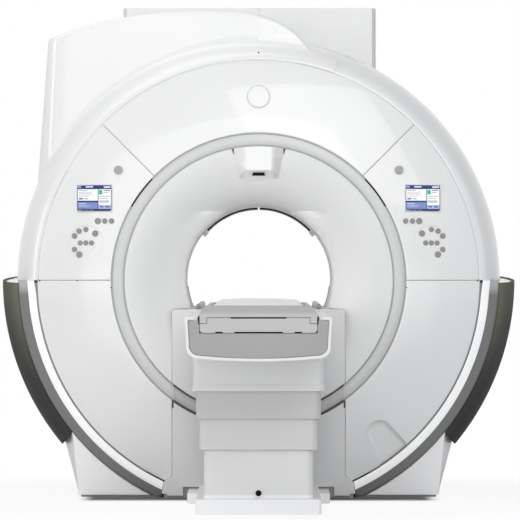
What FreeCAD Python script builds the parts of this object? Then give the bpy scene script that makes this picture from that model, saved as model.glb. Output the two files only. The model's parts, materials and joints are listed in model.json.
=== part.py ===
"""Magnetic resonance scanner: a ring-shaped gantry on its floor base, with a lifting patient table.

Frame: millimetres, +Z up, X to the right as a visitor faces the machine, and Y from the
foot end of the table towards the back of the gantry. The origin is the middle of the
footprint, on the floor. A depth is measured back from the gantry's front plane.
"""
import FreeCAD, Part
import math
import os
from FreeCAD import Matrix, Placement, Rotation, Vector

# ---------------------------------------------------------------- driving dimensions
BORE_RADIUS = 350.0            # patient bore, 700 mm across
AXIS_HEIGHT = 985.0            # bore axis above the floor
GANTRY_DEPTH = 1740.0
TABLE_REACH = 2150.0           # foot end of the table, ahead of the gantry's front plane
FRONT_Y = (TABLE_REACH - GANTRY_DEPTH) / 2.0
COVER_WALL = 8.0               # moulded covers
FLOOR_GAP = 10.0               # covers stop short of the floor
SEAM = 3.0                     # visible gap between neighbouring covers

FLARE_RADIUS = 606.0           # outer edge of the front bell
THROAT_DEPTH = 340.0           # where the front bell meets the bore
REAR_THROAT_DEPTH = 1560.0
REAR_FLARE_RADIUS = 560.0
RING_INNER = 613.0             # band round the front bell
RING_OUTER = 661.0
RING_THICKNESS = 30.0
RING_SUNK = 2.0
FLARE_CHORDS = 4               # straight steps in a bell's curved section
REAR_FLARE_CHORDS = 3
RIM_CHORDS = 3
PANEL_CHORDS = 2
HIDDEN_CHORDS = 2              # the unseen side of a curved wall needs fewer
PANEL_INNER = 668.0
PANEL_OUTER = 997.0
LOWER_PANEL_OUTER = 1002.0
PANEL_THICKNESS = 10.0
FACE_CURVE = 1577.0            # crown radius of the front face, in section
RIM_START = 1000.0
BODY_RADIUS = 1111.0
BODY_SHOULDER_DEPTH = 380.0    # where the rounded rim has become the straight barrel
REAR_COVER_RADIUS = 1000.0
DIAGONAL_SEAM = 45.0           # degrees above the horizontal

STRIP_INNER = 1010.0           # pale strip and grey trim round the lower edge
STRIP_OUTER = 1046.0
TRIM_OUTER = 1089.0
TRIM_END_ANGLE = 66.0          # degrees below the horizontal
WING_RADIUS = 1190.0           # widest sweep of the side wings
WING_SWELL_DEPTH = 600.0
WING_REAR_DEPTH = 1180.0
WING_END_ANGLE = 40.0
WING_FOOT = (850.0, 294.0)     # x and height of a point on the wing's slanting lower end
WING_FOOT_SLOPE = 1.16
BEHIND_WING_ANGLE = -20.0      # there the floor skirt rises until it meets the barrel
WING_TOP_FRONT = 971.0         # the wing's top end rises from front to back
WING_TOP_SLOPE = 0.026

COLUMN_HALF = 391.0            # docking column under the bore
COLUMN_TOP = 853.0
COLUMN_DEPTH = 112.0
TROUGH_HALF = 243.0            # channel in which the cradle runs
TROUGH_FLOOR = 783.0

MAGNET_RADIUS = 950.0
MAGNET_BORE = 470.0
MAGNET_FRONT = 135.0
MAGNET_REAR = 1640.0
COIL_OUTER = 455.0
COIL_INNER = 372.0

TOWER_LEFT = -643.0
TOWER_RIGHT = 557.0
TOWER_TOP = 2273.0
TOWER_FRONT = 900.0
TOWER_REAR = 1690.0
HOOD_REAR = 1500.0

TABLE_HALF = 294.0
TABLE_TOP = 850.0
TABLE_BOTTOM = 673.0
CRADLE_HALF = 235.0
CRADLE_BOTTOM = 786.0
CRADLE_TOP = 896.0
END_INSET = 13.0               # the end panel stands this far inside the table's outline
END_SEAT = 16.0                # and rests on a ledge this far behind the foot end
CRADLE_NEAR = -TABLE_REACH + 6.0
CRADLE_FAR = -14.0
PAD_HALF = 196.0
PAD_RIM = 880.0                # height of the cradle's dish at its sides
PAD_DIP = 30.0
PEDESTAL_FRONT = 1100.0        # ahead of the gantry's front plane
PEDESTAL_REAR = 42.0
COVER_OVERLAP = 20.0           # each lift cover reaches up into the next one
LIFT_COVERS = {                # half width, bottom, top of the visible band
    "table_base": (233.0, 60.0, 269.0),
    "lift_cover_middle": (252.0, 269.0, 401.0),
    "lift_cover_upper": (266.0, 401.0, 520.0),
}
SKIRT_HALF = 278.0
SKIRT_BOTTOM = 520.0
LIP_HALF = 282.0
LIP_HEIGHT = 26.0

POD_FRONT = -14.0              # the pod stands a little proud of the front plane
POD_FACE_HALF = 57.0
POD_TOP = 1587.0
POD_TOP_HALF = 126.0
POD_LOW = 1432.0
POD_LOW_HALF = 85.0

STOP_BUTTON = (-635.0, 1484.0)
DISPLAY_CENTRE = (-743.0, 1356.0)
DISPLAY_SIZE = (161.0, 122.0)
ROW_CENTRE = (-696.0, 1253.0)
DIAL_CENTRE = (-779.0, 1156.0)
DIAL_RADIUS = 81.0
DIAL_RECESS = 3.0
ROW_KEYS = ((-31.0, 0.0, 14.0), (0.0, 0.0, 12.0), (31.0, 0.0, 12.0))
DIAL_KEYS = ((-55.0, 30.0, 12.5), (-34.0, 52.0, 12.0), (-3.0, 59.0, 11.5), (40.0, 41.0, 14.0),
             (-29.0, -2.0, 11.5), (-3.0, -2.0, 11.5), (23.0, -2.0, 11.5),
             (-55.0, -31.0, 12.0), (-33.0, -54.0, 14.0))
KEY_CLEARANCE = 0.6
KEY_PROUD = 2.4
KEY_DEPTH = 15.0
KEY_FLATS = 24                 # a key's rim stays within a fifth of a millimetre of round
STOP_RADIUS = 19.0
STOP_PROUD = 9.0

SLOTS = 6                      # louvres on each side of the rear cover

FAR = 3000.0                   # longer than anything that it cuts


# ---------------------------------------------------------------- drawing helpers
def at_depth(x, depth, z):
    return Vector(x, FRONT_Y + depth, z)


def closed_wire(steps, to_point):
    """Closed wire: a pair draws a line to that point, two pairs an arc through the first."""
    start = to_point(*steps[0])
    here = start
    edges = []
    for step in steps[1:] + (steps[0],):
        if isinstance(step[0], tuple):
            middle, end = (to_point(*pair) for pair in step)
            edges.append(Part.Arc(here, middle, end).toShape())
        else:
            end = to_point(*step)
            if here.distanceToPoint(end) > 1e-6:
                edges.append(Part.LineSegment(here, end).toShape())
        here = end
    return Part.Wire(edges)


def turned(*steps):
    """Solid of revolution about the bore axis, from a profile of (radius, depth)."""
    face = Part.Face(closed_wire(steps, lambda r, d: at_depth(r, d, AXIS_HEIGHT)))
    return face.revolve(at_depth(0, 0, AXIS_HEIGHT), Vector(0, 1, 0), 360)


def front_prism(steps, near, far):
    """Front-view outline of (x, z), carried from one depth to another."""
    face = Part.Face(closed_wire(steps, lambda x, z: at_depth(x, near, z)))
    return face.extrude(Vector(0, far - near, 0))


def side_prism(steps, left, right):
    """Side-view outline of (depth, z), carried from one x to another."""
    face = Part.Face(closed_wire(steps, lambda d, z: at_depth(left, d, z)))
    return face.extrude(Vector(right - left, 0, 0))


def plan_prism(steps, low, high):
    """Plan outline of (x, depth), carried from one height to another."""
    face = Part.Face(closed_wire(steps, lambda x, d: at_depth(x, d, low)))
    return face.extrude(Vector(0, 0, high - low))


def block(x0, x1, near, far, z0, z1):
    return Part.makeBox(x1 - x0, far - near, z1 - z0, at_depth(x0, near, z0))


def polar(radius, degrees):
    """Front-view point at an angle from the right-hand horizontal through the bore axis."""
    turn = math.radians(degrees)
    return (radius * math.cos(turn), AXIS_HEIGHT + radius * math.sin(turn))


def sector(start, end, radius=1600.0, near=-60.0, far=GANTRY_DEPTH + 60.0):
    middle = (start + end) / 2.0
    rim = (polar(radius, middle), polar(radius, end))
    return front_prism(((0.0, AXIS_HEIGHT), polar(radius, start), rim), near, far)


def cylinder_about_axis(radius, near, far):
    return Part.makeCylinder(radius, far - near, at_depth(0, near, AXIS_HEIGHT), Vector(0, 1, 0))


def mirrored(shape):
    return shape.mirror(Vector(0, 0, 0), Vector(1, 0, 0))


def one_solid(shape):
    """The shape with its coplanar faces joined, as one plain solid."""
    clean = shape.removeSplitter()
    if len(clean.Solids) != 1:
        volumes = [round(solid.Volume) for solid in clean.Solids]
        raise ValueError("expected one solid, got volumes %s" % volumes)
    return clean.Solids[0]


def biggest(shape):
    return max(shape.Solids, key=lambda solid: solid.Volume)


# ---------------------------------------------------------------- the front face
def face_depth(radius):
    """Depth of the crowned front face: a circle that leaves the front plane at the bell's edge."""
    run = radius - FLARE_RADIUS
    return FACE_CURVE - math.sqrt(FACE_CURVE ** 2 - run ** 2)


def face_band(inner, outer, thickness, chords=1, sink=0.0):
    """A ring of the crowned face between two radii, its section drawn in a few chords."""
    radii = [inner + (outer - inner) * step / chords for step in range(chords + 1)]
    front = tuple((radius, face_depth(radius) + sink) for radius in radii)
    back = tuple((radius, depth + thickness) for radius, depth in reversed(front))
    return turned(*(front + back))


def on_face(x, z):
    """Placement on the front face at (x, z), with its own Z along the outward normal."""
    radius = math.hypot(x, z - AXIS_HEIGHT)
    tilt = math.asin((radius - FLARE_RADIUS) / FACE_CURVE)
    out = Vector(x / radius * math.sin(tilt), -math.cos(tilt),
                 (z - AXIS_HEIGHT) / radius * math.sin(tilt))
    across = Vector(1, 0, 0)
    across = (across - out * across.dot(out)).normalize()
    up = out.cross(across)
    turn = Matrix(across.x, up.x, out.x, 0, across.y, up.y, out.y, 0,
                  across.z, up.z, out.z, 0, 0, 0, 0, 1)
    return Placement(at_depth(x, face_depth(radius), z), Rotation(turn))


def placed(shape, placement):
    moved = shape.copy()
    moved.Placement = placement.multiply(moved.Placement)
    return moved


# ---------------------------------------------------------------- bore and bells
def quarter_ellipse(centre, reach, chords, start=90.0, end=0.0):
    """Points (radius, depth) on a quarter ellipse that bulges towards the axis and the viewer."""
    turns = [math.radians(start + (end - start) * step / chords) for step in range(chords + 1)]
    return tuple((centre[0] - reach[0] * math.cos(turn), centre[1] - reach[1] * math.sin(turn))
                 for turn in turns)


def bell_profile(edge_radius, edge_depth, throat_depth, chords, setback=0.0):
    """Section of a bell, from its edge to the throat; a setback gives its hidden side."""
    side = 1.0 if throat_depth > edge_depth else -1.0
    reach = (edge_radius - BORE_RADIUS - setback, throat_depth - edge_depth)
    return quarter_ellipse((edge_radius, throat_depth + side * setback), reach, chords)


def bell(edge_radius, edge_depth, throat_depth, chords):
    inside = bell_profile(edge_radius, edge_depth, throat_depth, chords)
    outside = bell_profile(edge_radius, edge_depth, throat_depth, chords // 2, COVER_WALL)
    return turned(*(inside + outside[::-1]))


def patient_space(clearance):
    """Everything inside the bore and both bells, as one turned solid, drawn in by a clearance."""
    front = bell_profile(FLARE_RADIUS, 0.0, THROAT_DEPTH, FLARE_CHORDS)
    rear = bell_profile(REAR_FLARE_RADIUS, GANTRY_DEPTH, REAR_THROAT_DEPTH, REAR_FLARE_CHORDS)
    walls = tuple((radius - clearance, depth) for radius, depth in front + rear[::-1])
    return turned(*(((0.0, 0.0),) + walls + ((0.0, GANTRY_DEPTH),)))


def front_flare():
    funnel = bell(FLARE_RADIUS, 0.0, THROAT_DEPTH, FLARE_CHORDS)
    return one_solid(funnel.cut(column_envelope(SEAM / 2.0, 140.0)))


def bore_tube():
    """Bore liner with the rear bell moulded on."""
    rear = (REAR_FLARE_RADIUS, GANTRY_DEPTH, REAR_THROAT_DEPTH)
    inside = bell_profile(*rear, REAR_FLARE_CHORDS)
    outside = bell_profile(*rear, REAR_FLARE_CHORDS // 2, COVER_WALL)
    start = THROAT_DEPTH + COVER_WALL + 0.5
    return turned(*(((BORE_RADIUS, start),) + inside[::-1] + outside
                    + ((BORE_RADIUS + COVER_WALL, start),)))


def light_ring():
    return turned((RING_INNER, RING_SUNK), (RING_OUTER, RING_SUNK),
                  (RING_OUTER, RING_THICKNESS), (RING_INNER, RING_THICKNESS))


def bore_bridge():
    """Deck that carries the cradle through the bore and fits its curve underneath."""
    deck = patient_space(1.0).common(
        block(-FAR, FAR, COLUMN_DEPTH + 2.0, GANTRY_DEPTH - 4.0, 0.0, COLUMN_TOP - 3.0))
    trough = block(-TROUGH_HALF, TROUGH_HALF, 0.0, GANTRY_DEPTH + 10.0, TROUGH_FLOOR, FAR)
    return one_solid(deck.cut(trough))


def side_rails():
    """Accessory rails along both shoulders of the bridge, hooked over outwards at the top."""
    inner, neck, outer = 262.0, 270.0, 284.0
    low = COLUMN_TOP - 3.0
    high = low + 26.0
    hook = front_prism(
        ((inner, low), (neck, low), (neck, high - 14.0), (outer, high - 14.0), (outer, high - 4.0),
         (outer - 4.0, high), (inner + 8.0, high), (inner, high - 8.0)),
        COLUMN_DEPTH + 4.0, REAR_THROAT_DEPTH)
    return Part.makeCompound([hook, mirrored(hook)])


# ---------------------------------------------------------------- docking column
def column_outline(inset):
    """Front view of the column: cradle channel on top, splayed feet, arch over the table base."""
    half = COLUMN_HALF - inset
    foot = 430.0 - inset
    toe = 438.0 - inset
    floor = FLOOR_GAP if inset > 0.0 else FLOOR_GAP + inset
    right = ((TROUGH_HALF + inset, TROUGH_FLOOR - inset), (TROUGH_HALF + inset, COLUMN_TOP - inset),
             (half, COLUMN_TOP - inset), (half, 101.0), (foot, 71.0), (toe, 19.0),
             (415.0 - inset, 19.0), (415.0 - inset, floor))
    left = tuple((-x, z) for x, z in reversed(right))
    return right + left


def column_envelope(gap, depth):
    """Space that the neighbouring covers leave for the column."""
    return front_prism(((-COLUMN_HALF - gap, COLUMN_TOP + gap), (COLUMN_HALF + gap, COLUMN_TOP + gap),
                        (COLUMN_HALF + gap, 101.0), (430.0 + gap, 71.0), (438.0 + gap, 19.0),
                        (438.0 + gap, -FAR), (-438.0 - gap, -FAR), (-438.0 - gap, 19.0),
                        (-430.0 - gap, 71.0), (-COLUMN_HALF - gap, 101.0)), -50.0, depth)


def column_cover():
    arch_half, arch_top = 340.0, 50.0
    skin = front_prism(column_outline(0.0), 0.0, COLUMN_DEPTH)
    cavity = front_prism(column_outline(COVER_WALL), COVER_WALL, COLUMN_DEPTH + 1.0)
    arch = block(-arch_half, arch_half, -1.0, COLUMN_DEPTH + 1.0, 0.0, arch_top)
    channel = turned((RING_INNER - 7.0, -1.0), (RING_OUTER + 7.0, -1.0),
                     (RING_OUTER + 7.0, RING_THICKNESS + 4.0),
                     (RING_INNER - 7.0, RING_THICKNESS + 4.0))
    return one_solid(skin.cut(cavity).cut(arch).cut(channel))


# ---------------------------------------------------------------- front panels
def seam_blade(degrees, width=SEAM):
    """Thin radial plate that parts two neighbouring panels."""
    blade = Part.makeBox(FAR, FAR, width, Vector(0, -FAR / 2.0, -width / 2.0))
    blade.rotate(Vector(0, 0, 0), Vector(0, 1, 0), -degrees)
    blade.translate(Vector(0, 0, AXIS_HEIGHT))
    return blade


def upper_face():
    return face_band(PANEL_INNER, PANEL_OUTER, PANEL_THICKNESS, PANEL_CHORDS)


def top_panel():
    """Upper quarter of the face, with a plain raised disc at the middle."""
    quarter = upper_face().common(sector(DIAGONAL_SEAM, 180.0 - DIAGONAL_SEAM))
    for angle in (DIAGONAL_SEAM, 180.0 - DIAGONAL_SEAM):
        quarter = quarter.cut(seam_blade(angle))
    disc = Part.makeCylinder(50.0, 7.0, Vector(0, 0, -4.0))
    return one_solid(quarter.fuse(placed(disc, on_face(0.0, AXIS_HEIGHT + 831.0))))


def key_places():
    """Name, placement and radius of every push button on the left console."""
    row = on_face(*ROW_CENTRE)
    dial = on_face(*DIAL_CENTRE).multiply(Placement(Vector(0, 0, -DIAL_RECESS), Rotation()))
    places = [("stop_button", on_face(*STOP_BUTTON), STOP_RADIUS)]
    for index, (x, up, radius) in enumerate(ROW_KEYS, start=1):
        places.append(("row_key_%d" % index, row.multiply(Placement(Vector(x, up, 0), Rotation())),
                       radius))
    for index, (x, up, radius) in enumerate(DIAL_KEYS, start=1):
        places.append(("dial_key_%d" % index, dial.multiply(Placement(Vector(x, up, 0), Rotation())),
                       radius))
    return places


def console_panel_left():
    """Panel beside the bore, cut out for its display, its dial and thirteen push buttons."""
    panel = upper_face().common(sector(180.0 - DIAGONAL_SEAM, 180.0))
    panel = panel.cut(seam_blade(180.0 - DIAGONAL_SEAM)).cut(seam_blade(180.0))
    wide, high = DISPLAY_SIZE
    window = Part.makeBox(wide + 1.4, high + 1.4, 60.0,
                          Vector(-wide / 2.0 - 0.7, -high / 2.0 - 0.7, -30.0))
    panel = panel.cut(placed(window, on_face(*DISPLAY_CENTRE)))
    dish = Part.makeCylinder(DIAL_RADIUS, 20.0, Vector(0, 0, -DIAL_RECESS))
    behind = Part.makeCylinder(DIAL_RADIUS, 20.0, Vector(0, 0, -DIAL_RECESS - 26.0))
    panel = panel.cut(placed(dish.fuse(behind), on_face(*DIAL_CENTRE)))
    for _, placement, radius in key_places():
        panel = panel.cut(placed(plunger(radius + KEY_CLEARANCE, -30.0, 30.0), placement))
    return one_solid(panel)


def plunger(radius, low, high):
    """Round rod of many flats along its own Z: a key, or the hole that it slides in."""
    turns = [math.radians(360.0 * flat / KEY_FLATS) for flat in range(KEY_FLATS)]
    corners = [Vector(radius * math.cos(turn), radius * math.sin(turn), low) for turn in turns]
    face = Part.Face(Part.makePolygon(corners + corners[:1]))
    return face.extrude(Vector(0, 0, high - low))


def display_unit():
    """Flat screen module: a framed glass face in front of a shallow case."""
    wide, high = DISPLAY_SIZE
    frame = 4.0
    case = Part.makeBox(wide, high, 22.0, Vector(-wide / 2.0, -high / 2.0, -20.0))
    glass = Part.makeBox(wide - 2 * frame, high - 2 * frame, 5.0,
                         Vector(-wide / 2.0 + frame, -high / 2.0 + frame, 0.8))
    return placed(case.cut(glass), on_face(*DISPLAY_CENTRE))


def display_units():
    left = display_unit()
    return Part.makeCompound([left, mirrored(left)])


def grip_recess():
    """Scooped hand grip: a U open towards the rim, cut with sloping walls."""
    bottom_left = (553.0, 150.0)
    right_end = (675.0, 244.0)

    def hoof(inset, depth):
        steps = ((bottom_left[0] + inset, bottom_left[1] - 60.0),
                 (482.0 + inset, 294.0 - 0.4 * inset),
                 ((492.0 + inset, 334.0 - inset), (556.0, 353.0 - inset)),
                 (586.0 - 0.6 * inset, 342.0 - inset),
                 (right_end[0] + 60.0 - inset, right_end[1] - 60.0))
        return closed_wire(steps, lambda x, z: at_depth(x, depth, z))

    return Part.makeLoft([hoof(0.0, -20.0), hoof(26.0, 62.0)], True, True)


def lower_panel_left():
    """Lower quarter of the face, from the horizontal seam down to the column's foot."""
    panel = face_band(PANEL_INNER, LOWER_PANEL_OUTER, PANEL_THICKNESS, PANEL_CHORDS)
    panel = panel.common(sector(180.0, 270.0)).cut(seam_blade(180.0))
    return one_solid(biggest(panel.cut(column_envelope(SEAM, 200.0))))


def lower_panel_right():
    """The left panel's mirror image, with a hand grip moulded in beside the rim."""
    panel = mirrored(lower_panel_left())
    scoop = grip_recess()
    backing = face_band(PANEL_INNER, LOWER_PANEL_OUTER, 26.0, PANEL_CHORDS, PANEL_THICKNESS)
    bucket = backing.common(grip_recess_block())
    floor_level = block(-FAR, FAR, -60.0, face_depth(900.0) + 22.0, -FAR, FAR)
    return one_solid(panel.fuse(bucket).cut(scoop.common(floor_level)))


def grip_recess_block():
    """Outer body of the grip's bucket, behind the panel."""
    return front_prism(((470.0, 130.0), (470.0, 365.0), (610.0, 365.0), (740.0, 225.0),
                        (640.0, 130.0)), -10.0, 200.0)


# ---------------------------------------------------------------- lower edge: strip, trim, wings
def lower_arc(shape):
    """Both side pieces of a ring: from the wing's top down to the column's foot."""
    right = shape.common(sector(-TRIM_END_ANGLE, 5.0)).cut(column_envelope(SEAM, 300.0))
    right = right.cut(above_wing_top(12.0)).cut(block(0.0, FAR, -60.0, 300.0, -FAR, FLOOR_GAP))
    return biggest(right)


def above_wing_top(lift=0.0):
    """Everything above the sloping plane on which the strip, trim and wings end."""
    front = WING_TOP_FRONT + lift
    rear = front + WING_TOP_SLOPE * GANTRY_DEPTH
    return side_prism(((-60.0, front), (GANTRY_DEPTH, rear), (GANTRY_DEPTH, FAR), (-60.0, FAR)),
                      -FAR, FAR)


def light_strip():
    right = lower_arc(face_band(STRIP_INNER, STRIP_OUTER, 22.0))
    return Part.makeCompound([right, mirrored(right)])


def edge_trim():
    """Grey edge trim, rolled over at its outer edge."""
    roll = 16.0
    inner = STRIP_OUTER + 1.0
    edge = face_depth(TRIM_OUTER)
    ring = turned((inner, face_depth(inner)), (TRIM_OUTER - roll, face_depth(TRIM_OUTER - roll)),
                  (TRIM_OUTER - 3.0, edge + 2.0), (TRIM_OUTER, edge + roll),
                  (TRIM_OUTER, edge + 26.0), (inner, face_depth(inner) + 40.0))
    right = lower_arc(ring)
    return Part.makeCompound([right, mirrored(right)])


def wing_curve(draw_in):
    """Outer sweep of a wing: out to its widest point on one ellipse, back to the barrel on another."""
    front_depth = face_depth(TRIM_OUTER) + 28.0
    swell = WING_RADIUS - draw_in
    start = TRIM_OUTER + 2.0
    chords = HIDDEN_CHORDS if draw_in > 0.0 else RIM_CHORDS
    nose = [(start + (swell - start) * math.sin(turn),
             WING_SWELL_DEPTH - (WING_SWELL_DEPTH - front_depth - draw_in) * math.cos(turn))
            for turn in (math.radians(90.0 * step / chords) for step in range(chords + 1))]
    heel = BODY_RADIUS + 4.0
    tail = [(heel + (swell - heel) * math.cos(turn),
             WING_SWELL_DEPTH + (WING_REAR_DEPTH - WING_SWELL_DEPTH - draw_in) * math.sin(turn))
            for turn in (math.radians(90.0 * step / HIDDEN_CHORDS)
                         for step in range(1, HIDDEN_CHORDS + 1))]
    return tuple(nose + tail)


def wing_solid(draw_in, inner, start, end, drop):
    """Filled wing shape between two angles, ending at the sloping top plane less a drop."""
    curve = wing_curve(draw_in)
    base = ((inner, curve[-1][1]), (inner, BODY_SHOULDER_DEPTH), (TRIM_OUTER - 4.0 - draw_in, curve[0][1]))
    swept = turned(*(curve + base)).common(sector(start, end))
    return biggest(swept.cut(above_wing_top(-drop)))


def under_wing_foot(lift):
    """Everything below the slanting line on which a wing's lower end meets the floor skirt."""
    def height(x):
        return WING_FOOT[1] + lift - WING_FOOT_SLOPE * (x - WING_FOOT[0])
    return front_prism(((0.0, height(0.0)), (FAR, height(FAR)), (FAR, -FAR), (0.0, -FAR)),
                       -60.0, GANTRY_DEPTH + 60.0)


def wing_right():
    """Swept side wing: a skin with closed ends, standing off the barrel, and a dished top end."""
    inner = BODY_RADIUS + 2.0
    skin = wing_solid(0.0, inner, -WING_END_ANGLE, 5.0, 0.0).cut(under_wing_foot(0.0))
    core = wing_solid(COVER_WALL, inner - 40.0, -WING_END_ANGLE + 0.6, 5.0, 3.0 * COVER_WALL)
    core = core.cut(under_wing_foot(1.5 * COVER_WALL))
    dish = wing_solid(COVER_WALL, inner, -5.0, 5.0, 0.0).common(above_wing_top(-4.0))
    dish = dish.cut(cylinder_about_axis(inner + COVER_WALL, 0.0, GANTRY_DEPTH))
    return one_solid(skin.cut(core).cut(dish))


# ---------------------------------------------------------------- base covers
def base_section(half_low, half_high, z_high, depth):
    steps = ((400.0, FLOOR_GAP), (half_low, FLOOR_GAP), (half_high, z_high), (400.0, z_high))
    return closed_wire(steps, lambda x, z: at_depth(x, depth, z))


def base_body(inset, near, far):
    """Slanting side skirt: narrow at the front, full width from the wing's widest point back."""
    low, high, level = 817.0 - inset, 859.0 - inset, 430.0
    wide_low, wide_high = 844.0 - inset, 956.0 - inset
    nose = Part.makeLoft([base_section(low, high, level, near),
                          base_section(wide_low, wide_high, level, WING_SWELL_DEPTH)], True, True)
    tail = Part.makeLoft([base_section(wide_low, wide_high, level, WING_SWELL_DEPTH),
                          base_section(wide_low, wide_high, level, far)], True, True)
    return nose.fuse(tail)


def base_cover_right():
    """Floor skirt on the right: front wall below the trim, slanting side wall, rear wall."""
    front = face_depth(TRIM_OUTER) + 8.0
    rear = GANTRY_DEPTH - 12.0
    skin = base_body(0.0, front, rear)
    cavity = base_body(COVER_WALL, front + COVER_WALL, rear - COVER_WALL)
    cavity = cavity.fuse(block(380.0, 809.0, front + COVER_WALL, rear - COVER_WALL, -10.0, 60.0))
    rear_edge = rounded_edge(REAR_COVER_RADIUS + 4.0, GANTRY_DEPTH - 2.0, REAR_THROAT_DEPTH, -2.0)
    rim = rounded_edge(RIM_START, face_depth(RIM_START), BODY_SHOULDER_DEPTH, -2.0)
    round_body = turned(*(((0.0, -60.0), (TRIM_OUTER + 2.0, -60.0), (TRIM_OUTER + 2.0, 190.0))
                          + rim[-2:] + rear_edge[::-1]
                          + ((REAR_COVER_RADIUS + 4.0, GANTRY_DEPTH + 60.0), (0.0, GANTRY_DEPTH + 60.0))))
    below_wing = under_wing_foot(-1.5)
    behind_wing = sector(-120.0, BEHIND_WING_ANGLE, 1600.0, WING_REAR_DEPTH + SEAM)
    room_behind = sector(-120.0, BEHIND_WING_ANGLE, 1600.0, WING_REAR_DEPTH + SEAM + COVER_WALL)
    room = cavity.common(under_wing_foot(-1.5 - COVER_WALL).fuse(room_behind))
    shell = skin.cut(room).cut(round_body).common(below_wing.fuse(behind_wing))
    rear_wall = skin.common(cylinder_about_axis(1400.0, rear - COVER_WALL, rear))
    rear_wall = rear_wall.cut(cylinder_about_axis(REAR_COVER_RADIUS - 12.0, 1700.0, GANTRY_DEPTH))
    rear_wall = rear_wall.common(sector(-120.0, -WING_END_ANGLE - 0.4, 1600.0))
    return one_solid(biggest(shell.fuse(rear_wall)))


# ---------------------------------------------------------------- main enclosure and hood
def rounded_edge(radius_in, depth_out, depth_in, draw_in):
    """Quarter ellipse between a flat end and the straight barrel, in a few chords."""
    body = BODY_RADIUS - draw_in
    chords = HIDDEN_CHORDS if draw_in > 0.0 else RIM_CHORDS
    turns = [math.radians(90.0 * step / chords) for step in range(chords + 1)]
    return tuple((radius_in + (body - radius_in) * math.sin(turn),
                  depth_in + (depth_out - depth_in) * math.cos(turn)) for turn in turns)


def barrel(draw_in):
    """Body of the gantry: rounded rim, straight barrel, rounded rear edge."""
    front = face_depth(RIM_START) + 0.9 * draw_in
    rear = GANTRY_DEPTH - 4.0 - 0.9 * draw_in
    rim = rounded_edge(RIM_START, front, BODY_SHOULDER_DEPTH, draw_in)
    back = rounded_edge(REAR_COVER_RADIUS + 2.0, rear, REAR_THROAT_DEPTH, draw_in)
    return turned(*(((0.0, front),) + rim + back[::-1] + ((0.0, rear),)))


def barrel_room():
    """Space inside the barrel, with the round openings for the front panels and the rear cover."""
    front_hole = cylinder_about_axis(RIM_START - 0.5, -10.0, 200.0)
    rear_hole = cylinder_about_axis(REAR_COVER_RADIUS + 2.0, 1500.0, GANTRY_DEPTH + 10.0)
    return barrel(COVER_WALL).fuse(front_hole).fuse(rear_hole)


HOOD_OUTLINE = ((-1018.0, 1362.0), ((-990.0, 1725.0), (-964.0, 2070.0)),
                ((-957.0, 2085.0), (-940.0, 2094.0)),
                ((-617.0, 2184.0), (-228.0, 2213.0)), ((-110.0, 2209.0), (2.0, 2192.0)),
                ((134.0, 2136.0), (233.0, 2039.0)), (360.0, 1985.0), (360.0, 1500.0),
                (-700.0, 1362.0))


def hood_slope(lift):
    """Everything in front of the hood's face, which leans back towards the left corner."""
    return plan_prism(((1300.0, 84.0 + lift), (0.0, 104.0 + lift), (-935.0, 196.0 + lift),
                       (-1300.0, 520.0 + lift), (-1300.0, -100.0), (1300.0, -100.0)), 0.0, FAR)


def hood_outer():
    return front_prism(HOOD_OUTLINE, 60.0, HOOD_REAR).cut(hood_slope(0.0))


def hood_inner():
    """Space inside the hood: what stays when its outline is moved in from the left and the top."""
    prism = front_prism(HOOD_OUTLINE, 60.0, HOOD_REAR - COVER_WALL)
    from_left = prism.copy()
    from_left.translate(Vector(COVER_WALL, 0, 0))
    from_top = prism.copy()
    from_top.translate(Vector(-0.4 * COVER_WALL, 0, -COVER_WALL))
    return prism.common(from_left).common(from_top).cut(hood_slope(COVER_WALL))


def tower_body(gap):
    corner = 19.0
    steps = ((TOWER_LEFT - gap, TOWER_FRONT + 60.0), (TOWER_LEFT + corner - gap, TOWER_FRONT - gap),
             (TOWER_RIGHT - corner + gap, TOWER_FRONT - gap), (TOWER_RIGHT + gap, TOWER_FRONT + 60.0),
             (TOWER_RIGHT + gap, TOWER_REAR + gap), (TOWER_LEFT - gap, TOWER_REAR + gap))
    return plan_prism(steps, 1700.0, TOWER_TOP + gap)


def service_tower():
    """Square housing over the cold head, saddled on the barrel."""
    skin = tower_body(0.0)
    cavity = tower_body(-COVER_WALL)
    saddle = barrel(-1.0)
    seam = block(-1.5, 1.5, TOWER_FRONT - 1.0, TOWER_FRONT + 4.0, 1700.0, TOWER_TOP + 1.0)
    notch = block(-6.0, 6.0, TOWER_FRONT - 1.0, TOWER_FRONT + 12.0, TOWER_TOP - 8.0, TOWER_TOP + 1.0)
    return one_solid(biggest(skin.cut(cavity).cut(saddle).cut(seam).cut(notch)))


def enclosure(side):
    """Half of the enclosure: barrel wall with its share of the hood, down to the base cover."""
    hood = hood_outer().cut(tower_body(1.5))
    space = barrel_room().fuse(hood_inner())
    turret_hole = Part.makeCylinder(230.0, 400.0, at_depth(-40.0, 1300.0, 1900.0))
    whole = barrel(0.0).fuse(hood).cut(space).cut(turret_hole)
    if side < 0:
        keep = sector(90.0, 180.0, 1900.0).fuse(sector(180.0, 180.0 + WING_END_ANGLE, 1900.0))
    else:
        keep = sector(0.0, 90.0, 1900.0).fuse(sector(-WING_END_ANGLE, 0.0, 1900.0))
    half = whole.common(keep)
    seam = block(-SEAM / 2.0, SEAM / 2.0, -60.0, 240.0, AXIS_HEIGHT + 1036.0, FAR)
    rim_cut = front_rim_below_axis()
    return one_solid(biggest(half.cut(seam).cut(rim_cut)))


def front_rim_below_axis():
    """Room that the enclosure leaves for the strip and trim, below the horizontal seam."""
    return turned((980.0, -60.0), (TRIM_OUTER + 2.0, -60.0),
                  (TRIM_OUTER + 2.0, face_depth(TRIM_OUTER) + 26.0),
                  (980.0, face_depth(TRIM_OUTER) + 42.0)).cut(above_wing_top(13.0))


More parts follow.
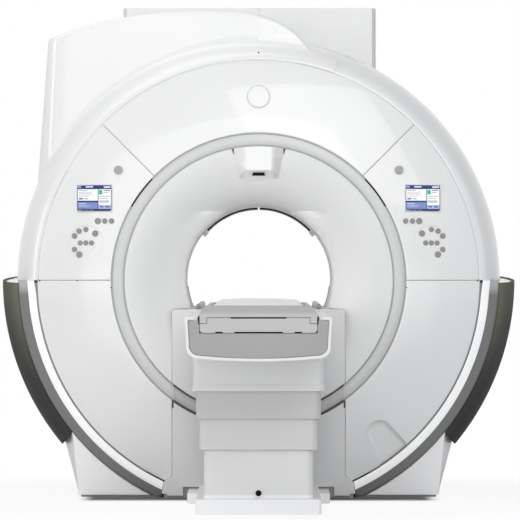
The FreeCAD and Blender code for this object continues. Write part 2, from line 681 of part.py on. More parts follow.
def rear_cover():
    """Flat rear cover with its louvres, cut off above the floor."""
    plate = cylinder_about_axis(REAR_COVER_RADIUS, GANTRY_DEPTH - COVER_WALL, GANTRY_DEPTH)
    plate = plate.cut(cylinder_about_axis(REAR_FLARE_RADIUS + 3.0, 1700.0, GANTRY_DEPTH + 10.0))
    plate = plate.cut(block(-FAR, FAR, 1700.0, 1800.0, -FAR, FLOOR_GAP))
    slot_half, slot_high, pitch = 130.0, 12.0, 36.0
    for side in (-1.0, 1.0):
        for step in range(SLOTS):
            x = side * 420.0
            z = 300.0 + step * pitch
            plate = plate.cut(block(x - slot_half, x + slot_half, 1700.0, 1800.0, z, z + slot_high))
    return one_solid(plate)


# ---------------------------------------------------------------- magnet
def magnet_vessel():
    """Cryostat: a closed ring vessel with flat end plates and a service turret."""
    vessel = turned((MAGNET_BORE, MAGNET_FRONT), (MAGNET_RADIUS, MAGNET_FRONT),
                    (MAGNET_RADIUS, MAGNET_REAR), (MAGNET_BORE, MAGNET_REAR))
    turret = Part.makeCylinder(190.0, 290.0, at_depth(-40.0, 1300.0, 1800.0))
    turret = turret.cut(cylinder_about_axis(MAGNET_BORE, 0.0, GANTRY_DEPTH))
    return one_solid(vessel.fuse(turret))


def gradient_coil():
    return turned((COIL_INNER, 400.0), (COIL_OUTER, 400.0), (COIL_OUTER, 1500.0), (COIL_INNER, 1500.0))


def cold_head():
    """Two-stage cooler standing on the turret."""
    base = at_depth(-40.0, 1300.0, 2091.0)
    flange = plunger(120.0, 0.0, 16.0)
    motor = plunger(58.0, 16.0, 156.0)
    return placed(one_solid(flange.fuse(motor)), Placement(base, Rotation()))


def magnet_feet():
    """Four feet: a floor pad, a post and a saddle cut to the vessel."""
    feet = []
    vessel = cylinder_about_axis(MAGNET_RADIUS + 0.5, 0.0, GANTRY_DEPTH)
    for x in (-480.0, 480.0):
        for depth in (380.0, 1360.0):
            pad = block(x - 130.0, x + 130.0, depth - 130.0, depth + 130.0, 0.0, 24.0)
            post = block(x - 90.0, x + 90.0, depth - 90.0, depth + 90.0, 24.0, 260.0)
            rib = block(x - 120.0, x + 120.0, depth - 12.0, depth + 12.0, 24.0, 240.0)
            foot = pad.fuse(post).fuse(rib).cut(vessel)
            feet.append(one_solid(foot))
    return Part.makeCompound(feet)


# ---------------------------------------------------------------- alignment pod
def alignment_pod():
    """Hopper-shaped light housing: its sides flare to the bell's curve, level by level."""
    def level(z):
        half = POD_LOW_HALF + (POD_TOP_HALF - POD_LOW_HALF) * (z - POD_LOW) / (POD_TOP - POD_LOW)
        radius = min(math.hypot(half, z - AXIS_HEIGHT), FLARE_RADIUS)
        across = (FLARE_RADIUS - radius) / (FLARE_RADIUS - BORE_RADIUS)
        edge = THROAT_DEPTH * (1.0 - math.sqrt(1.0 - across ** 2)) + 1.5
        steps = ((-half, edge), (-POD_FACE_HALF, POD_FRONT), (POD_FACE_HALF, POD_FRONT), (half, edge),
                 (half, edge + 30.0), (-half, edge + 30.0))
        return closed_wire(steps, lambda x, depth: at_depth(x, depth, z))

    hopper = Part.makeLoft([level(z) for z in (1425.0, 1460.0, 1500.0, 1545.0, 1602.0)], True, True)
    chin = side_prism(((-60.0, 1484.0), (POD_FRONT, 1484.0), (78.0, 1432.0), (78.0, 1380.0),
                       (-60.0, 1380.0)), -200.0, 200.0)
    window = front_prism(((-24.0, 1473.0), (24.0, 1473.0), (30.0, 1458.0), (-30.0, 1458.0)), -60.0, 30.0)
    room = patient_space(1.0).fuse(cylinder_about_axis(FLARE_RADIUS - 1.5, -60.0, 0.5))
    body = hopper.cut(chin).cut(window).common(room)
    return one_solid(biggest(body))


# ---------------------------------------------------------------- patient table
def rounded_box(half, near, far, z0, z1, corner):
    """Upright tube blank: a plan rectangle with rounded corners, `near` and `far` ahead."""
    front = -near
    back = -far
    bulge = corner * (1.0 - math.sqrt(0.5))
    steps = ((half - corner, front),
             ((half - bulge, front + bulge), (half, front + corner)), (half, back - corner),
             ((half - bulge, back - bulge), (half - corner, back)), (-half + corner, back),
             ((-half + bulge, back - bulge), (-half, back - corner)), (-half, front + corner),
             ((-half + bulge, front + bulge), (-half + corner, front)))
    return plan_prism(steps, z0, z1)


def lift_tube(half, z0, z1, front, back, wall=6.0):
    outer = rounded_box(half, front, back, z0, z1, 26.0)
    inner = rounded_box(half - wall, front - wall, back + wall, z0 - 1.0, z1 + 1.0, 20.0)
    return outer.cut(inner)


def lift_cover(name):
    """One telescoping cover of the pedestal: each stands a little proud of the one below."""
    half, low, high = LIFT_COVERS[name]
    margin = SKIRT_HALF - half
    return lift_tube(half, low, high + COVER_OVERLAP, PEDESTAL_FRONT - margin, PEDESTAL_REAR + margin)


def table_base():
    """Floor plate with the lowest cover moulded on, and the tongue under the column's arch."""
    plate = rounded_box(267.0, 1143.0, 60.0, 0.0, 63.0, 14.0)
    tongue = rounded_box(316.0, 386.0, -80.0, 0.0, 44.0, 14.0)
    half, low, high = LIFT_COVERS["table_base"]
    margin = SKIRT_HALF - half
    cover = lift_cover("table_base")
    seat = rounded_box(half - 6.0, PEDESTAL_FRONT - margin - 6.0, PEDESTAL_REAR + margin + 6.0,
                       low - 1.0, high, 20.0)
    return one_solid(plate.fuse(tongue).cut(seat).fuse(cover))


def tray_outline(inset, level):
    """Section of the table top: bowed underside, rounded lower corners, cradle channel."""
    half = TABLE_HALF - inset
    low = TABLE_BOTTOM + inset
    corner = 44.0 - inset * 0.5
    side_low = half - 6.0
    right = ((TROUGH_HALF + inset, TROUGH_FLOOR - inset), (TROUGH_HALF + inset, level - inset),
             (half - 8.0, level - inset), ((half - 2.0, level - 2.0 - inset), (half, level - 8.0 - inset)),
             (side_low, low + 20.0 + corner),
             ((side_low - corner * 0.25, low + 16.0 + corner * 0.25), (side_low - corner, low + 12.0)))
    bow = ((0.0, low), (-side_low + corner, low + 12.0))
    left = (((-side_low + corner * 0.25, low + 16.0 + corner * 0.25), (-side_low, low + 20.0 + corner)),
            (-half, level - 8.0 - inset), ((-half + 2.0, level - 2.0 - inset), (-half + 8.0, level - inset)),
            (-TROUGH_HALF - inset, level - inset), (-TROUGH_HALF - inset, TROUGH_FLOOR - inset))
    return right + (bow,) + left


def foot_hoop(thickness, near, far):
    """Band that follows the table's section, between two distances behind its foot end."""
    outer = front_prism(tray_outline(0.0, TABLE_TOP), -TABLE_REACH + near, -TABLE_REACH + far)
    inner = front_prism(tray_outline(thickness, TABLE_TOP), -TABLE_REACH + near - 1.0,
                        -TABLE_REACH + far + 1.0)
    return outer.cut(inner)


def table_frame():
    """Long table top carried by the skirt that slides over the lift covers."""
    wall = COVER_WALL
    tray = front_prism(tray_outline(0.0, TABLE_TOP), -TABLE_REACH, -5.0)
    hollow = front_prism(tray_outline(wall, TABLE_TOP), -TABLE_REACH - 1.0, -5.0 - wall)
    skirt_top = TABLE_BOTTOM + 6.0
    skirt = lift_tube(SKIRT_HALF, SKIRT_BOTTOM, skirt_top, PEDESTAL_FRONT, PEDESTAL_REAR, COVER_WALL)
    lip = lift_tube(LIP_HALF, SKIRT_BOTTOM, SKIRT_BOTTOM + LIP_HEIGHT, PEDESTAL_FRONT + 4.0,
                    PEDESTAL_REAR - 4.0, COVER_WALL)
    collar = lift_tube(SKIRT_HALF, skirt_top - 2.0, TABLE_BOTTOM + 24.0, PEDESTAL_FRONT, PEDESTAL_REAR,
                       COVER_WALL)
    rim = foot_hoop(END_INSET - 1.5, 0.0, END_SEAT)
    ledge = foot_hoop(END_INSET + 5.0, END_SEAT, END_SEAT + 8.0)
    beside = TROUGH_HALF + END_INSET + 1.0
    panel_room = block(-beside, beside, -TABLE_REACH - 1.0, -TABLE_REACH + END_SEAT,
                       TROUGH_FLOOR - END_INSET - 1.0, FAR)
    shell = tray.fuse(skirt).fuse(lip).fuse(collar).cut(hollow)
    return one_solid(shell.fuse(rim).fuse(ledge).cut(panel_room))


def end_panel():
    """Grey U-shaped panel set into the foot end of the table, close round the cradle."""
    near = -TABLE_REACH + 4.0
    far = -TABLE_REACH + END_SEAT
    plate = front_prism(tray_outline(END_INSET, TABLE_TOP), near, far)
    beside = TROUGH_HALF + END_INSET
    inner_edge = block(-beside, beside, near, far, TROUGH_FLOOR - END_INSET, TABLE_TOP - END_INSET)
    cradle_room = block(-CRADLE_HALF - 1.5, CRADLE_HALF + 1.5, near - 1.0, far + 1.0,
                        CRADLE_BOTTOM - 1.5, FAR)
    return one_solid(plate.fuse(inner_edge).cut(cradle_room))


def cradle_section(depth_near, depth_far):
    corner = 46.0
    bulge = corner * (1.0 - math.sqrt(0.5))
    half = CRADLE_HALF
    steps = ((-half + 10.0, CRADLE_BOTTOM), (half - 10.0, CRADLE_BOTTOM), (half, CRADLE_BOTTOM + 10.0),
             (half, CRADLE_TOP - corner),
             ((half - bulge, CRADLE_TOP - bulge), (half - corner, CRADLE_TOP)),
             (-half + corner, CRADLE_TOP),
             ((-half + bulge, CRADLE_TOP - bulge), (-half, CRADLE_TOP - corner)),
             (-half, CRADLE_BOTTOM + 10.0))
    return front_prism(steps, depth_near, depth_far)


def hollow_section(half, rim, dip, near, far):
    """Channel with a dished floor, cut down into the cradle."""
    steps = ((-half, rim), ((0.0, rim - dip), (half, rim)), (half, rim + 200.0), (-half, rim + 200.0))
    return front_prism(steps, near, far)


def cradle():
    """Sliding cradle: a dished board with end walls, and seams that part its end cap."""
    board = cradle_section(CRADLE_NEAR, CRADLE_FAR)
    dish = hollow_section(PAD_HALF + 4.0, PAD_RIM, PAD_DIP, CRADLE_NEAR + 26.0, CRADLE_FAR - 26.0)
    ledge = block(-FAR, FAR, CRADLE_NEAR + 60.0, CRADLE_FAR + 10.0, CRADLE_TOP - 10.0, FAR)
    lip, deep, step_x, step_z = 3.0, 8.0, 207.0, 24.0
    middle = 846.0
    end = CRADLE_NEAR - 1.0
    slots = (block(-step_x, step_x, end, end + deep, middle, middle + lip),
             block(-step_x, -step_x + lip, end, end + deep, middle - step_z, middle),
             block(step_x - lip, step_x, end, end + deep, middle - step_z, middle),
             block(-CRADLE_HALF, -step_x, end, end + deep, middle - step_z, middle - step_z + lip),
             block(step_x, CRADLE_HALF, end, end + deep, middle - step_z, middle - step_z + lip))
    body = board.cut(dish).cut(ledge)
    for slot in slots:
        body = body.cut(slot)
    return one_solid(body)


def cradle_pad():
    """Foam mattress in the cradle's dish, with a crowned top and drawn-in ends."""
    half = PAD_HALF
    rim = PAD_RIM

    def section(depth, shrink, top):
        steps = ((-half + shrink, rim + 1.0), ((0.0, rim - PAD_DIP + 1.0), (half - shrink, rim + 1.0)),
                 (half - shrink - 6.0, top - 8.0), ((0.0, top), (-half + shrink + 6.0, top - 8.0)))
        return closed_wire(steps, lambda x, z: at_depth(x, depth, z))

    near = CRADLE_NEAR + 30.0
    far = CRADLE_FAR - 30.0
    sections = [section(near, 16.0, 898.0), section(near + 90.0, 0.0, 908.0),
                section(far - 90.0, 0.0, 908.0), section(far, 16.0, 898.0)]
    return Part.makeLoft(sections, True, True)


# ---------------------------------------------------------------- assembly
def build_nodes():
    nodes = {
        "magnet_vessel": magnet_vessel(),
        "gradient_coil": gradient_coil(),
        "cold_head": cold_head(),
        "magnet_feet": magnet_feet(),
        "bore_tube": bore_tube(),
        "front_flare": front_flare(),
        "light_ring": light_ring(),
        "bore_bridge": bore_bridge(),
        "side_rails": side_rails(),
        "column_cover": column_cover(),
        "top_panel": top_panel(),
        "display_units": display_units(),
        "lower_panel_left": lower_panel_left(),
        "lower_panel_right": lower_panel_right(),
        "light_strip": light_strip(),
        "edge_trim": edge_trim(),
        "enclosure_left": enclosure(-1),
        "enclosure_right": enclosure(1),
        "rear_cover": rear_cover(),
        "service_tower": service_tower(),
        "alignment_pod": alignment_pod(),
        "table_base": table_base(),
        "lift_cover_middle": lift_cover("lift_cover_middle"),
        "lift_cover_upper": lift_cover("lift_cover_upper"),
        "table_frame": table_frame(),
        "end_panel": end_panel(),
        "cradle": cradle(),
        "cradle_pad": cradle_pad(),
    }
    for name, right in (("wing", wing_right()), ("base_cover", base_cover_right())):
        nodes[name + "_right"] = right
        nodes[name + "_left"] = mirrored(right)
    console = console_panel_left()
    nodes["console_panel_left"] = console
    nodes["console_panel_right"] = mirrored(console)
    for name, placement, radius in key_places():
        proud = STOP_PROUD if name == "stop_button" else KEY_PROUD
        key = placed(plunger(radius, -KEY_DEPTH, proud), placement)
        nodes["left_" + name] = key
        nodes["right_" + name] = mirrored(key)
    return nodes


def main():
    os.makedirs("parts", exist_ok=True)
    for name, shape in build_nodes().items():
        if not shape.isValid():
            raise ValueError("%s is not a valid shape" % name)
        shape.exportStep("parts/%s.step" % name)
    print("wrote the sub-parts")


main()
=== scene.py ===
# %% [markdown]
# # A ring-shaped scanner, dressed for its portrait
# This lesson takes the exact solids of a magnetic resonance scanner and gives them the smooth
# covers, finishes and light of the real machine. Every size is in metres. X runs to the right as a
# visitor faces the machine, Y runs from the foot of the table towards the back, and Z is up.

# %% The fixed frame
import json
import math

import bmesh
import bpy
import numpy as np
from mathutils import Matrix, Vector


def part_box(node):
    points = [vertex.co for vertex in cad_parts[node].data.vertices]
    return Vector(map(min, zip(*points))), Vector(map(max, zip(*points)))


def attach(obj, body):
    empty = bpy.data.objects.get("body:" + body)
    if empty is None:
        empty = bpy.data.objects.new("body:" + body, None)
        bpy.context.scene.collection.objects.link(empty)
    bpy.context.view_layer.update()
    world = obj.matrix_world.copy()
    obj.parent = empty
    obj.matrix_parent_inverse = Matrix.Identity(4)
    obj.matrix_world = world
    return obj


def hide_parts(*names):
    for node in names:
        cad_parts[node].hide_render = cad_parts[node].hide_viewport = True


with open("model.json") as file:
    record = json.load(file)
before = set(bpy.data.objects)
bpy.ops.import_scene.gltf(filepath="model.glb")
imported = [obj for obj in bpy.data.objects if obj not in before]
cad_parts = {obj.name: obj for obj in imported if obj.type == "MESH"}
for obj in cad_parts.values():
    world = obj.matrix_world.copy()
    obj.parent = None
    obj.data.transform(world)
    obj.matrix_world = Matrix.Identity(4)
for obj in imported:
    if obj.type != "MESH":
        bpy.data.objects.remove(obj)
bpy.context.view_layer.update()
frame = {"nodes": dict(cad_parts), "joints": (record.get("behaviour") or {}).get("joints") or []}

# %% [markdown]
# ## Measures that everything else hangs on
# A cover has to sit exactly where its solid sits, so the main measures are read from the solids:
# the middle and the outer edge of the round band, the front plane of the gantry and its back.

# %% Main measures
MM = 0.001
band_low, band_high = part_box("light_ring")
AXIS = (band_low[2] + band_high[2]) / 2
BAND_OUTER = (band_high[0] - band_low[0]) / 2
FRONT = band_low[1] - 2 * MM
GANTRY_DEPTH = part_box("rear_cover")[1][1] - FRONT
BORE = 350 * MM
BELL_EDGE = 606 * MM
THROAT = 340 * MM
REAR_THROAT = 1560 * MM
REAR_BELL_EDGE = 560 * MM
FACE_CROWN = 1577 * MM
WALL = 8 * MM
SEAM = 1.6 * MM
print("bore axis %.3f m up, gantry %.3f m deep" % (AXIS, GANTRY_DEPTH))

# %% [markdown]
# ## Points around the bore
# Nearly every cover of this machine was formed around one horizontal axis. So the most useful
# helper turns a radius, an angle and a depth into a point. The angle is counted from the right-hand
# horizontal, and the depth back from the front plane.

# %% Polar points and the crowned face
def around(radius, angle, depth):
    """Points about the bore: x = r cos a, y = front + depth, z = axis height + r sin a."""
    radius, angle, depth = np.broadcast_arrays(radius, angle, depth)
    return np.stack([radius * np.cos(angle), FRONT + depth, AXIS + radius * np.sin(angle)], axis=-1)


def face_depth(radius):
    """Depth of the crowned face: a circle's sag, crown - sqrt(crown^2 - run^2), past the bell's edge."""
    run = np.asarray(radius) - BELL_EDGE
    return FACE_CROWN - np.sqrt(FACE_CROWN ** 2 - run ** 2)


print("the face falls back %.1f mm at its rim" % (1000 * face_depth(1.0)))

# %% [markdown]
# ## From arrays to a mesh
# A grid of points becomes a mesh when each square of four neighbours is written down as a face.
# A moulded cover has two skins and an edge between them, which `shell` joins into one closed body.
# `tube_of` joins closed outlines that follow each other instead, and caps both of its ends.

# %% Faces of a grid
def squares(rows, cols, round_rows=False, round_cols=False):
    """Faces of a grid: point (i, j) with (i+1, j), (i+1, j+1) and (i, j+1); a round grid closes up."""
    index = np.arange(rows * cols).reshape(rows, cols)
    if round_rows:
        index = np.vstack([index, index[:1]])
    if round_cols:
        index = np.hstack([index, index[:, :1]])
    corners = (index[:-1, :-1], index[1:, :-1], index[1:, 1:], index[:-1, 1:])
    return np.stack(corners, axis=-1).reshape(-1, 4)


def shell(front, back):
    """Closed wall between two grids: the front, the back turned over, and a strip round their border."""
    rows, cols = front.shape[:2]
    count = rows * cols
    index = np.arange(count).reshape(rows, cols)
    edge = np.concatenate([index[0, :-1], index[:-1, -1], index[-1, :0:-1], index[:0:-1, 0]])
    after = np.roll(edge, -1)
    strip = np.stack([edge, after, after + count, edge + count], axis=-1)
    sheet = squares(rows, cols)
    points = np.vstack([front.reshape(-1, 3), back.reshape(-1, 3)])
    return points, [np.vstack([sheet, sheet[:, ::-1] + count, strip])]


def tube_of(points):
    """Closed body from a grid whose rows are closed outlines: its sides, with both ends capped."""
    rows, cols = points.shape[:2]
    sides = squares(rows, cols, round_cols=True)
    first = np.arange(cols)[None, :]
    last = (np.arange(cols) + (rows - 1) * cols)[None, ::-1]
    return points.reshape(-1, 3), [sides, first, last]


def ring_of(points):
    """Closed ring from a grid that closes up both ways."""
    rows, cols = points.shape[:2]
    return points.reshape(-1, 3), [squares(rows, cols, True, True)]


def joined(*bodies):
    """Several closed bodies as one: the points follow each other and the faces are renumbered."""
    points, faces, offset = [], [], 0
    for own_points, own_faces in bodies:
        points.append(own_points)
        faces += [block + offset for block in own_faces]
        offset += len(own_points)
    return np.vstack(points), faces


def mirrored(body):
    """The other hand of a body: x changes sign, and the faces turn round to stay outward."""
    points, faces = body
    return points * np.array([-1.0, 1.0, 1.0]), [block[:, ::-1] for block in faces]


def both_sides(body):
    """A body and its other hand, joined as one."""
    return joined(body, mirrored(body))


# %% [markdown]
# ## Outward faces and smooth shading
# A surface worked out from a formula can come out inside out. The volume under its faces tells:
# the sum of a . (b x c) over all triangles is positive when they point outwards. Each body is
# tested by that sum and turned when it is negative. Shading is smooth, except across real edges.

# %% Making a piece
def outward(body):
    """Turns the faces round if the volume, the sum of a . (b x c) / 6 over fans, is negative."""
    points, faces = body
    volume = 0.0
    for block in faces:
        for step in range(1, block.shape[1] - 1):
            a, b, c = points[block[:, 0]], points[block[:, step]], points[block[:, step + 1]]
            volume += np.einsum("ij,ij->", a, np.cross(b, c)) / 6
    if volume < 0:
        faces = [block[:, ::-1] for block in faces]
    return points, faces


def smooth_but_creased(mesh, degrees):
    """Smooth shading that breaks at edges sharper than the given angle."""
    mesh.polygons.foreach_set("use_smooth", np.ones(len(mesh.polygons), dtype=bool))
    mesh.set_sharp_from_angle(angle=math.radians(degrees))


def mesh_from(name, body, crease=35):
    """Blender mesh from points and blocks of faces."""
    points, faces = outward(body)
    mesh = bpy.data.meshes.new(name)
    mesh.from_pydata(points.tolist(), [], [face for block in faces for face in block.tolist()])
    mesh.validate()
    smooth_but_creased(mesh, crease)
    return mesh


def place(name, mesh, finish, slot, body="gantry", stands_for=()):
    """Adds a finished piece: its material, its body, and the solids it stands for; the slot is not used."""
    piece = bpy.data.objects.new(name, mesh)
    bpy.context.scene.collection.objects.link(piece)
    mesh.materials.clear()
    for one in finish if isinstance(finish, (list, tuple)) else [finish]:
        mesh.materials.append(one)
    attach(piece, body)
    if stands_for:
        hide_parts(*stands_for)
    print("%-22s %6d faces" % (name, len(mesh.polygons)))
    return piece


def make(name, shape, finish, slot, body="gantry", stands_for=(), crease=35):
    """Adds a finished piece straight from its points and blocks of faces."""
    return place(name, mesh_from(name, shape, crease), finish, slot, body, stands_for)


# %% [markdown]
# ## Shader arithmetic that reads like arithmetic
# A finish is a small calculation at every point of a surface. Blender writes it as boxes and wires,
# which is hard to read back. The class below wraps one wire and teaches it Python's operators, so
# that `1 - mask` or `grain * 0.2` adds the right Math box by itself.

# %% A wire with operators
class Wire:
    """One output of a node; an expression on wires adds the Math nodes that work it out."""

    def __init__(self, bench, socket):
        self.bench = bench
        self.socket = socket

    def math(self, operation, *others):
        return self.bench.add("ShaderNodeMath", {"operation": operation},
                              {place: value for place, value in enumerate((self,) + others)})

    def turned_round(self, operation, other):
        return self.bench.add("ShaderNodeMath", {"operation": operation}, {0: other, 1: self})

    def __add__(self, other):
        return self.math("ADD", other)

    __radd__ = __add__

    def __sub__(self, other):
        return self.math("SUBTRACT", other)

    def __rsub__(self, other):
        return self.turned_round("SUBTRACT", other)

    def __mul__(self, other):
        return self.math("MULTIPLY", other)

    __rmul__ = __mul__

    def __truediv__(self, other):
        return self.math("DIVIDE", other)

    def __pow__(self, other):
        return self.math("POWER", other)

    def __gt__(self, other):
        return self.math("GREATER_THAN", other)

    def __lt__(self, other):
        return self.math("LESS_THAN", other)

    def sine(self):
        return self.math("SINE")

    def eased(self, low, high):
        """Rises smoothly from 0 at low to 1 at high."""
        return self.bench.add("ShaderNodeMapRange", {"interpolation_type": "SMOOTHSTEP"},
                              {"Value": self, "From Min": low, "From Max": high})


class Bench:
    """The workbench of one material: `add` makes any node from its type, settings and inputs."""

    def __init__(self, name):
        self.material = bpy.data.materials.new(name)
        self.material.use_nodes = True
        self.tree = self.material.node_tree
        self.tree.nodes.clear()

    def add(self, kind, settings=None, inputs=None, output=0):
        node = self.tree.nodes.new(kind)
        for key, value in (settings or {}).items():
            setattr(node, key, value)
        for key, value in (inputs or {}).items():
            if isinstance(value, Wire):
                self.tree.links.new(value.socket, node.inputs[key])
            else:
                node.inputs[key].default_value = value
        return Wire(self, node.outputs[output])

    def spot(self):
        """Where a point of the piece is, in its own metres."""
        return self.add("ShaderNodeTexCoord", output="Object")

    def parts(self, vector):
        """The three numbers of a vector wire."""
        first = self.add("ShaderNodeSeparateXYZ", inputs={"Vector": vector})
        outputs = first.socket.node.outputs
        return tuple(Wire(self, outputs[axis]) for axis in ("X", "Y", "Z"))

    def cloud(self, scale, detail=3.0, rough=0.5, vector=None):
        """Soft random clouds between 0 and 1, `scale` of them to the metre."""
        return self.add("ShaderNodeTexNoise", {"noise_dimensions": "3D"},
                        {"Vector": vector or self.spot(), "Scale": scale, "Detail": detail,
                         "Roughness": rough})

    def between(self, mask, first, second):
        """Colour that goes from the first to the second as the mask goes from 0 to 1."""
        mixed = self.add("ShaderNodeMix", {"data_type": "RGBA"}, {"Factor": mask}, output=2)
        node = mixed.socket.node
        for place, colour in ((6, first), (7, second)):
            if isinstance(colour, Wire):
                self.tree.links.new(colour.socket, node.inputs[place])
            else:
                node.inputs[place].default_value = (*colour, 1.0)
        return mixed

    def raised(self, height, distance):
        """Normal of a surface whose height changes by `distance` metres as the wire goes to 1."""
        return self.add("ShaderNodeBump",
                        inputs={"Height": height, "Distance": distance, "Strength": 1.0})

    def finished(self, **sockets):
        """Ends the material in a Principled shader; names are its sockets, with _ for a blank."""
        values = {key.replace("_", " "): value for key, value in sockets.items()}
        shader = self.add("ShaderNodeBsdfPrincipled", inputs=values)
        self.add_output(shader)
        return self.material

    def add_output(self, shader):
        output = self.tree.nodes.new("ShaderNodeOutputMaterial")
        self.tree.links.new(shader.socket, output.inputs["Surface"])


print("the workbench for materials is ready")

# %% [markdown]
# ## Moulded white covers
# The covers are thick plastic, sprayed with a satin white lacquer. Sprayed lacquer is never quite
# flat: it has a fine ripple that painters call orange peel. The colour drifts by a hair over a
# metre, and a few places have been wiped more often than others, which shows in the gloss.

# %% Lacquered plastic
def grey(lightness):
    """Neutral colour of one lightness."""
    return (lightness, lightness, lightness)


def sprayed(bench, colour, gloss, ripple=0.03 * MM, coat=0.25, coat_gloss=0.12, shine=0.5):
    """Ends a lacquered finish: wiped gloss, orange peel and a clear coat over the given colour."""
    wiped = bench.cloud(7.0, 4.0, 0.6)
    peel = bench.cloud(260.0, 2.0, 0.4)
    return bench.finished(Base_Color=colour, Roughness=wiped * 0.08 + (gloss - 0.04),
                          Normal=bench.raised(peel, ripple), Coat_Weight=coat,
                          Coat_Roughness=coat_gloss, Specular_IOR_Level=shine)


def lacquer(name, light, shade, gloss=0.34, **spray):
    """Sprayed cover: two near whites, mixed by slow clouds."""
    bench = Bench(name)
    drift = bench.cloud(1.7, 2.0)
    return sprayed(bench, bench.between(drift.eased(0.3, 0.7), light, shade), gloss, **spray)


COVER = lacquer("cover_lacquer", (0.83, 0.83, 0.828), (0.805, 0.806, 0.805), coat=0.6, coat_gloss=0.05)
BELL_PAINT = lacquer("bell_lacquer", (0.85, 0.85, 0.848), (0.825, 0.826, 0.825), gloss=0.55, coat=0.0,
                     shine=0.2)
TOWER_PAINT = lacquer("tower_lacquer", grey(0.82), grey(0.795), gloss=0.42)
POD_LEFT_FLANK = (-78 * MM, -50 * MM)
POD_RIGHT_FLANK = (52 * MM, 80 * MM)


# Painted light and shade on the pod: a whitened face and greyed flanks.
def pod_painted_light_and_shade():
    """White lacquer with painted light and shade: the face whiter than the covers, a little greyer on its
    left flank and clearly so on its right.
    """
    bench = Bench("pod_lacquer_painted_light_and_shade")
    across = bench.parts(bench.spot())[0]
    face = bench.between(across.eased(*POD_RIGHT_FLANK), grey(0.91), grey(0.70))
    colour = bench.between(1 - across.eased(*POD_LEFT_FLANK), face, grey(0.80))
    return sprayed(bench, colour, gloss=0.30, coat=0.0)


POD_PAINT = pod_painted_light_and_shade()
# Painted light: the floor skirts get a whiter copy of the covers' white, for light low down.
SKIRT_PAINTED_LIGHT = lacquer("skirt_lacquer_painted_light", grey(0.91), (0.885, 0.886, 0.89), gloss=0.4)
COLUMN_PAINT = lacquer("column_lacquer", grey(0.72), grey(0.70), gloss=0.4)
TABLE_PAINT = lacquer("table_lacquer", (0.75, 0.75, 0.748), (0.725, 0.726, 0.725), gloss=0.36)
# Painted shade under the table: the upper lift cover gets the darkest copy of the table lacquer, the middle
# one a lighter one.
UPPER_LIFT_SHADED_PAINT = lacquer("upper_lift_painted_shade", grey(0.57), grey(0.55), gloss=0.4)
MIDDLE_LIFT_SHADED_PAINT = lacquer("middle_lift_painted_shade", grey(0.66), grey(0.64), gloss=0.4)
COARSE_RIPPLE = 0.06 * MM
PANEL_GREY = lacquer("end_panel_lacquer", grey(0.355), grey(0.34), gloss=0.5, ripple=COARSE_RIPPLE,
                     coat=0.0)
BRIDGE_GREY = lacquer("bridge_moulding", grey(0.43), grey(0.41), gloss=0.46, ripple=COARSE_RIPPLE,
                      coat=0.0)
print("eleven lacquers mixed")

# %% [markdown]
# ## Dark mouldings, gaskets and metal
# The side wings, the edge trims and the rails are grained plastic or metal. A wing carries painted
# light high up and painted shade at its outer edge, and a trim a painted highlight just below its
# level top. Gaskets and fillers are matt rubber in several greys, from a pale one in the rim's seam
# to nearly black in the slots.

# %% Dark finishes
def grained(bench, colour, gloss, metallic=0.0, shine=0.5):
    """Ends a grained finish: fine speckle breaks the gloss and roughens the surface."""
    speckle = bench.cloud(900.0, 2.0, 0.6)
    return bench.finished(Base_Color=colour, Metallic=metallic, Specular_IOR_Level=shine,
                          Roughness=speckle * 0.16 + (gloss - 0.08),
                          Normal=bench.raised(speckle, 0.05 * MM))


def textured_dark(name, light, shade, gloss, metallic=0.0, shine=0.5):
    """Grained piece in two darks: the higher up, the more of the lighter one, as painted light from above.
    """
    bench = Bench(name)
    height = bench.parts(bench.spot())[2]
    mix = (height + bench.cloud(3.0, 2.0) * 0.1).eased(0.2, 1.15)
    return grained(bench, bench.between(mix, shade, light), gloss, metallic, shine)


def wing_finish():
    """Grained dark plastic with painted light and shade: lighter high up and beside the trim, darkest at
    its outer edge.
    """
    bench = Bench("wing_moulding_painted_light_and_shade")
    across, _, height = bench.parts(bench.spot())
    above_axis = height - AXIS
    outer_edge_painted_shade = ((across * across + above_axis * above_axis) ** 0.5).eased(1.10, 1.19)
    rise = (height + bench.cloud(3.0, 2.0) * 0.1).eased(0.5, 1.1)
    inner_tone_painted_light = bench.between(rise, (0.060, 0.060, 0.058), (0.185, 0.180, 0.145))
    edge = bench.between(rise, grey(0.020), (0.052, 0.052, 0.050))
    return grained(bench, bench.between(outer_edge_painted_shade, inner_tone_painted_light, edge), gloss=0.50, shine=0.04)


def trim_finish():
    """Grained grey plastic; the last hand's breadth below its level top carries a painted highlight."""
    bench = Bench("edge_trim_painted_highlight")
    height = bench.parts(bench.spot())[2]
    body = bench.between(bench.cloud(900.0, 2.0, 0.6), grey(0.215), grey(0.200))
    # Painted highlight: pale grey just below the trim's top.
    colour = bench.between(height.eased(AXIS - 75 * MM, AXIS - 20 * MM), body, grey(0.46))
    return grained(bench, colour, gloss=0.38, shine=0.25)


WING = wing_finish()
TRIM = trim_finish()
RAIL = textured_dark("rail_anodised", (0.16, 0.16, 0.165), (0.11, 0.11, 0.115), gloss=0.34,
                     metallic=0.7)
RUBBER = textured_dark("gasket_rubber", grey(0.46), grey(0.38), gloss=0.7)
FILLER = textured_dark("seam_filler", grey(0.66), grey(0.60), gloss=0.7)
STRIP_FILLER = textured_dark("strip_filler", grey(0.26), grey(0.20), gloss=0.7)
# Painted shade: a near-black grey laid where gaps and edges fall into shadow.
PAINTED_SHADE_GREY = textured_dark("painted_shade_grey", grey(0.12), grey(0.10), gloss=0.7, shine=0.2)
BLACK = textured_dark("slot_black", grey(0.008), grey(0.006), gloss=0.6, shine=0.08)
FOOT_PAINT = textured_dark("foot_paint", (0.10, 0.105, 0.115), (0.07, 0.075, 0.08), gloss=0.5)
print("nine dark finishes mixed")

